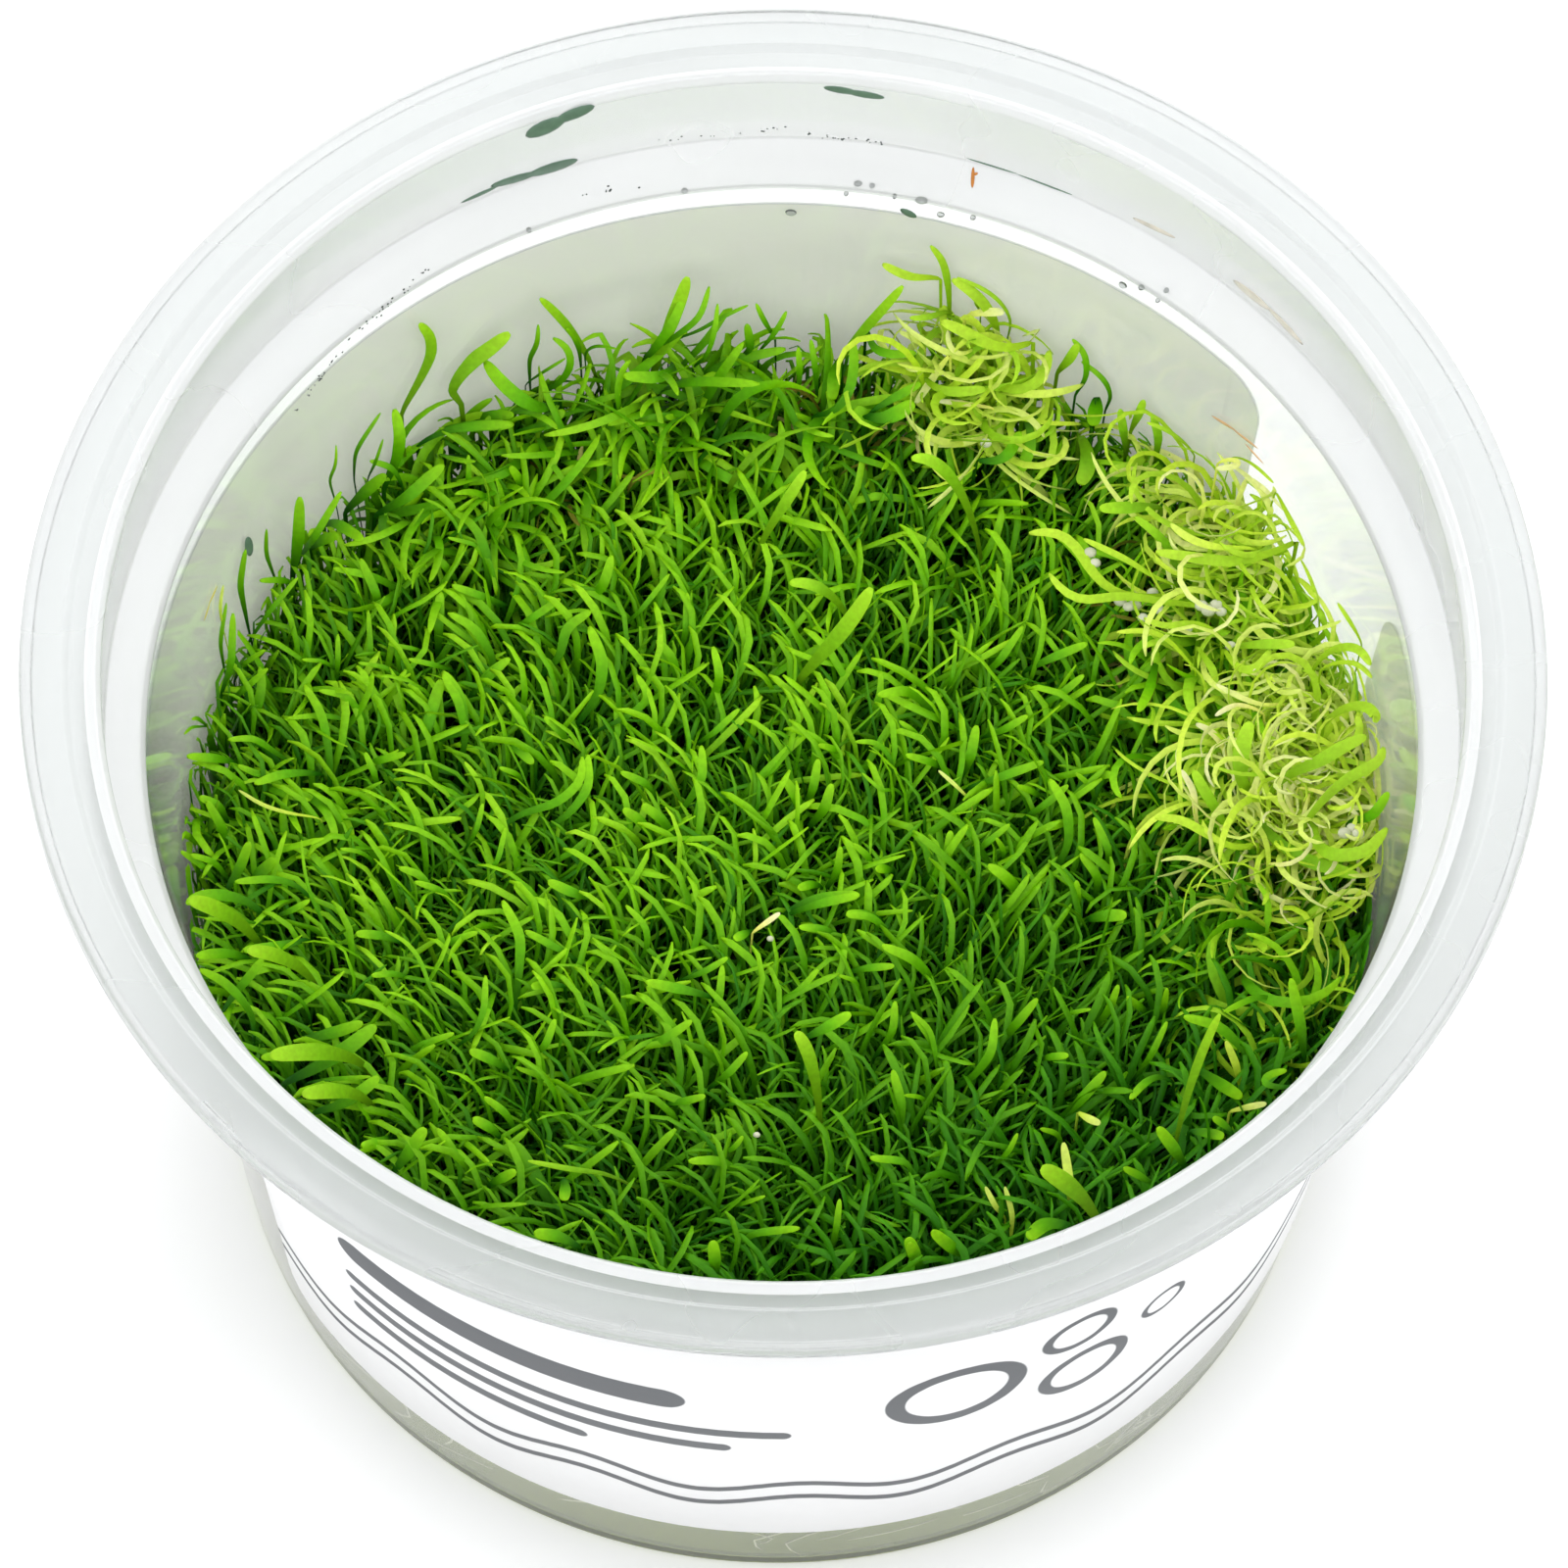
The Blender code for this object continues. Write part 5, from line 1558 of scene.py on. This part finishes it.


# What sticks to the plastic inside the cup, and painted reflections on it: from and to in px of the
# photograph, and the width in mm
marks = {
    # painted reflection: grey-green streaks on the collar where the plastic reflects, drawn as flat blobs on
    # it
    "wetSkin": {"tint": tint(112, 138, 120), "clear": 0.0, "thick": 0.1, "strips": [
        (536, 139, 577, 121, 2.0), (566, 124, 607, 108, 1.5), (500, 190, 550, 176, 1.0),
        (538, 179, 590, 163, 1.3), (470, 207, 510, 189, 0.5), (840, 89, 876, 95, 0.9),
        (862, 93, 903, 100, 0.9), (919, 213, 935, 222, 0.8), (985, 161, 1040, 178, 0.16),
        (1036, 177, 1097, 200, 0.16), (251, 549, 257, 566, 0.9)]},
    "fibre": {"tint": tint(206, 132, 62), "clear": 0.0, "thick": 0.2, "strips": [
        (993, 170, 992, 192, 0.3), (993, 178, 998, 177, 0.25)]},
    "oldThread": {"tint": tint(222, 214, 84), "clear": 0.0, "thick": 0.12, "strips": [
        (222, 597, 213, 617, 0.22), (214, 615, 208, 634, 0.18)]},
    "stain": {"tint": tint(236, 190, 140), "clear": 0.0, "thick": 0.12, "strips": [
        (1236, 424, 1262, 440, 0.3), (1258, 438, 1284, 458, 0.28), (1270, 452, 1290, 474, 0.2)]},
    "dust": {"tint": tint(240, 231, 218), "clear": 0.0, "thick": 0.1, "strips": [
        (1258, 286, 1296, 316, 1.1), (1292, 312, 1330, 352, 0.9), (1155, 222, 1200, 243, 0.6)]},
    "droplet": {"tint": tint(214, 217, 216), "clear": 0.9, "thick": 0.5, "strips": [
        (695, 195, 702, 194, 0.4), (861, 197, 866, 197, 0.3), (871, 187, 880, 187, 0.35),
        (887, 189, 893, 189, 0.3), (911, 200, 915, 200, 0.3), (934, 204, 947, 205, 0.65),
        (956, 218, 964, 219, 0.4), (990, 221, 996, 222, 0.35), (801, 216, 813, 217, 0.6),
        (537, 235, 542, 234, 0.35), (1142, 289, 1150, 292, 0.55), (1162, 292, 1168, 294, 0.4),
        (1188, 295, 1193, 297, 0.35), (1180, 305, 1184, 307, 0.3)]},
}
# Rows of fine specks: first and last place in px, how many, and how far they stray in px
specks = {"tint": tint(70, 78, 74), "size": 0.16, "sizes": (0.5, 1.2), "thick": 0.1, "rows": [
    ((822, 137), (900, 146), 22, 2.5), ((672, 143), (800, 131), 14, 3.0), ((300, 420), (352, 352), 26, 3.0),
    ((352, 352), (440, 270), 26, 3.0), ((590, 200), (700, 181), 8, 3.0)]}


def insideRadius(height):
    heights = (0, cup["wallTop"], cup["ledgeLow"], cup["collarLow"], cup["height"])
    radii = (wallInside(0), wallInside(cup["wallTop"]), cup["ledge"], cup["mouth"], cup["mouth"])
    return np.interp(height, heights, radii)


def onPlastic(x, y):                  # the place in mm on the cup's inside under a pixel
    low, high = turf["rootHeight"], cup["height"]
    for halving in range(24):
        height = (low + high) / 2
        spot = fromPhoto(x, y, height)
        if spot.xy.length > insideRadius(height):
            low = height
        else:
            high = height
    return spot


def addBlob(bm, start, end, width, thick):   # a flattened ball from start to end, on the plastic
    middle = (start + end) / 2
    inward = -Vector((*middle.xy, 0)).normalized()
    along = (end - start) / 2
    across = inward.cross(along).normalized() * width / 2
    axes = (along, across, inward * thick / 2)
    rows = [[*(axis[row] * mm for axis in axes), middle[row] * mm] for row in range(3)]
    shape = Matrix(rows + [(0, 0, 0, 1)])
    bmesh.ops.create_uvsphere(bm, u_segments=12, v_segments=6, radius=1, matrix=shape)


def makeMarks():
    for name, mark in marks.items():
        bm = bmesh.new()
        for x0, y0, x1, y1, width in mark["strips"]:
            addBlob(bm, onPlastic(x0, y0), onPlastic(x1, y1), width, mark["thick"])
        looks = {"Roughness": 0.15, "IOR": 1.33, "Transmission Weight": mark["clear"]}
        finish = mottledFinish(name, mark["tint"], 900.0, looks)
        addPiece("mark_" + name, toMesh("mark_" + name, bm), [finish])
    rng = np.random.default_rng(turf["seed"])
    bm = bmesh.new()
    for first, last, count, stray in specks["rows"]:
        for part in rng.random(count):
            x, y = np.array(first) * (1 - part) + np.array(last) * part + rng.normal(0, stray / 2, 2)
            spot = onPlastic(x, y)
            size = specks["size"] * rng.uniform(*specks["sizes"])
            aside = Vector((-spot.y, spot.x, 0)).normalized() * size / 2
            addBlob(bm, spot - aside, spot + aside, size, specks["thick"])
    finish = mottledFinish("speck", specks["tint"], 2000.0, {"Roughness": 0.5})
    addPiece("mark_specks", toMesh("mark_specks", bm), [finish])
    print("marks on the plastic made")


# Bladders: small clear traps on the stems; each is x, y in px, height in mm and radius in mm
bladders = {
    "tint": tint(248, 250, 214),
    "clear": 0.15,
    "swell": 1.15,
    "squash": (1, 0.85, 0.8),
    "reach": 0.7,                     # a bead's middle is this many radii from a leaf, or nearer
    "beads": [(1226, 618, 37, 0.42), (1233, 623, 37, 0.45), (1241, 617, 37, 0.4), (1247, 624, 37, 0.35),
              (1176, 605, 36, 0.38), (1141, 615, 36, 0.4), (1149, 621, 36, 0.36), (1158, 617, 36, 0.42),
              (1169, 624, 36, 0.34), (1183, 622, 36, 0.36), (1372, 850, 38, 0.42), (1380, 845, 38, 0.38),
              (1388, 852, 38, 0.4), (1131, 563, 36, 0.4), (1126, 575, 36, 0.36), (771, 1149, 34, 0.22),
              (781, 966, 34, 0.22), (1006, 452, 37, 0.36), (1217, 640, 37, 0.34), (1255, 660, 37, 0.36)],
}


def leafPoints(pieces):               # every point of the leaves, in mm
    places = []
    for piece in pieces:
        place = np.empty(len(piece.data.vertices) * 3)
        piece.data.vertices.foreach_get("co", place)
        places.append(place.reshape(-1, 3) / mm)
    return np.concatenate(places)


def makeBladders(leafPieces):
    carriers = leafPoints(leafPieces)
    bm = bmesh.new()
    for x, y, height, radius in bladders["beads"]:
        spot = fromPhoto(x, y, height)
        radius *= bladders["swell"]
        nearest = Vector(carriers[np.argmin(((carriers - np.array(spot)) ** 2).sum(1))])
        away = spot - nearest
        spot = nearest + away.normalized() * min(away.length, radius * bladders["reach"])
        size = Matrix.Diagonal((*(radius * mm * share for share in bladders["squash"]), 1))
        shape = Matrix.Translation(spot * mm) @ size
        bmesh.ops.create_uvsphere(bm, u_segments=10, v_segments=7, radius=1, matrix=shape)
    looks = {"Roughness": 0.08, "IOR": 1.36, "Transmission Weight": bladders["clear"]}
    finish = mottledFinish("bladderSkin", bladders["tint"], 1200.0, looks)
    addPiece("bladders", toMesh("bladders", bm), [finish])
    print("bladders made:", len(bladders["beads"]))


def main():
    setStage()
    makeCup()
    makeLabels()
    makeGel()
    makeFelt()
    leafPaint, leafPieces = makeLeaves()
    makeLongLeaves(leafPaint)
    makeOldLeaves(np.random.default_rng(turf["seed"] + 2))
    growThreads(np.random.default_rng(turf["seed"] + 1))
    makeMarks()
    makeBladders(leafPieces)


main()
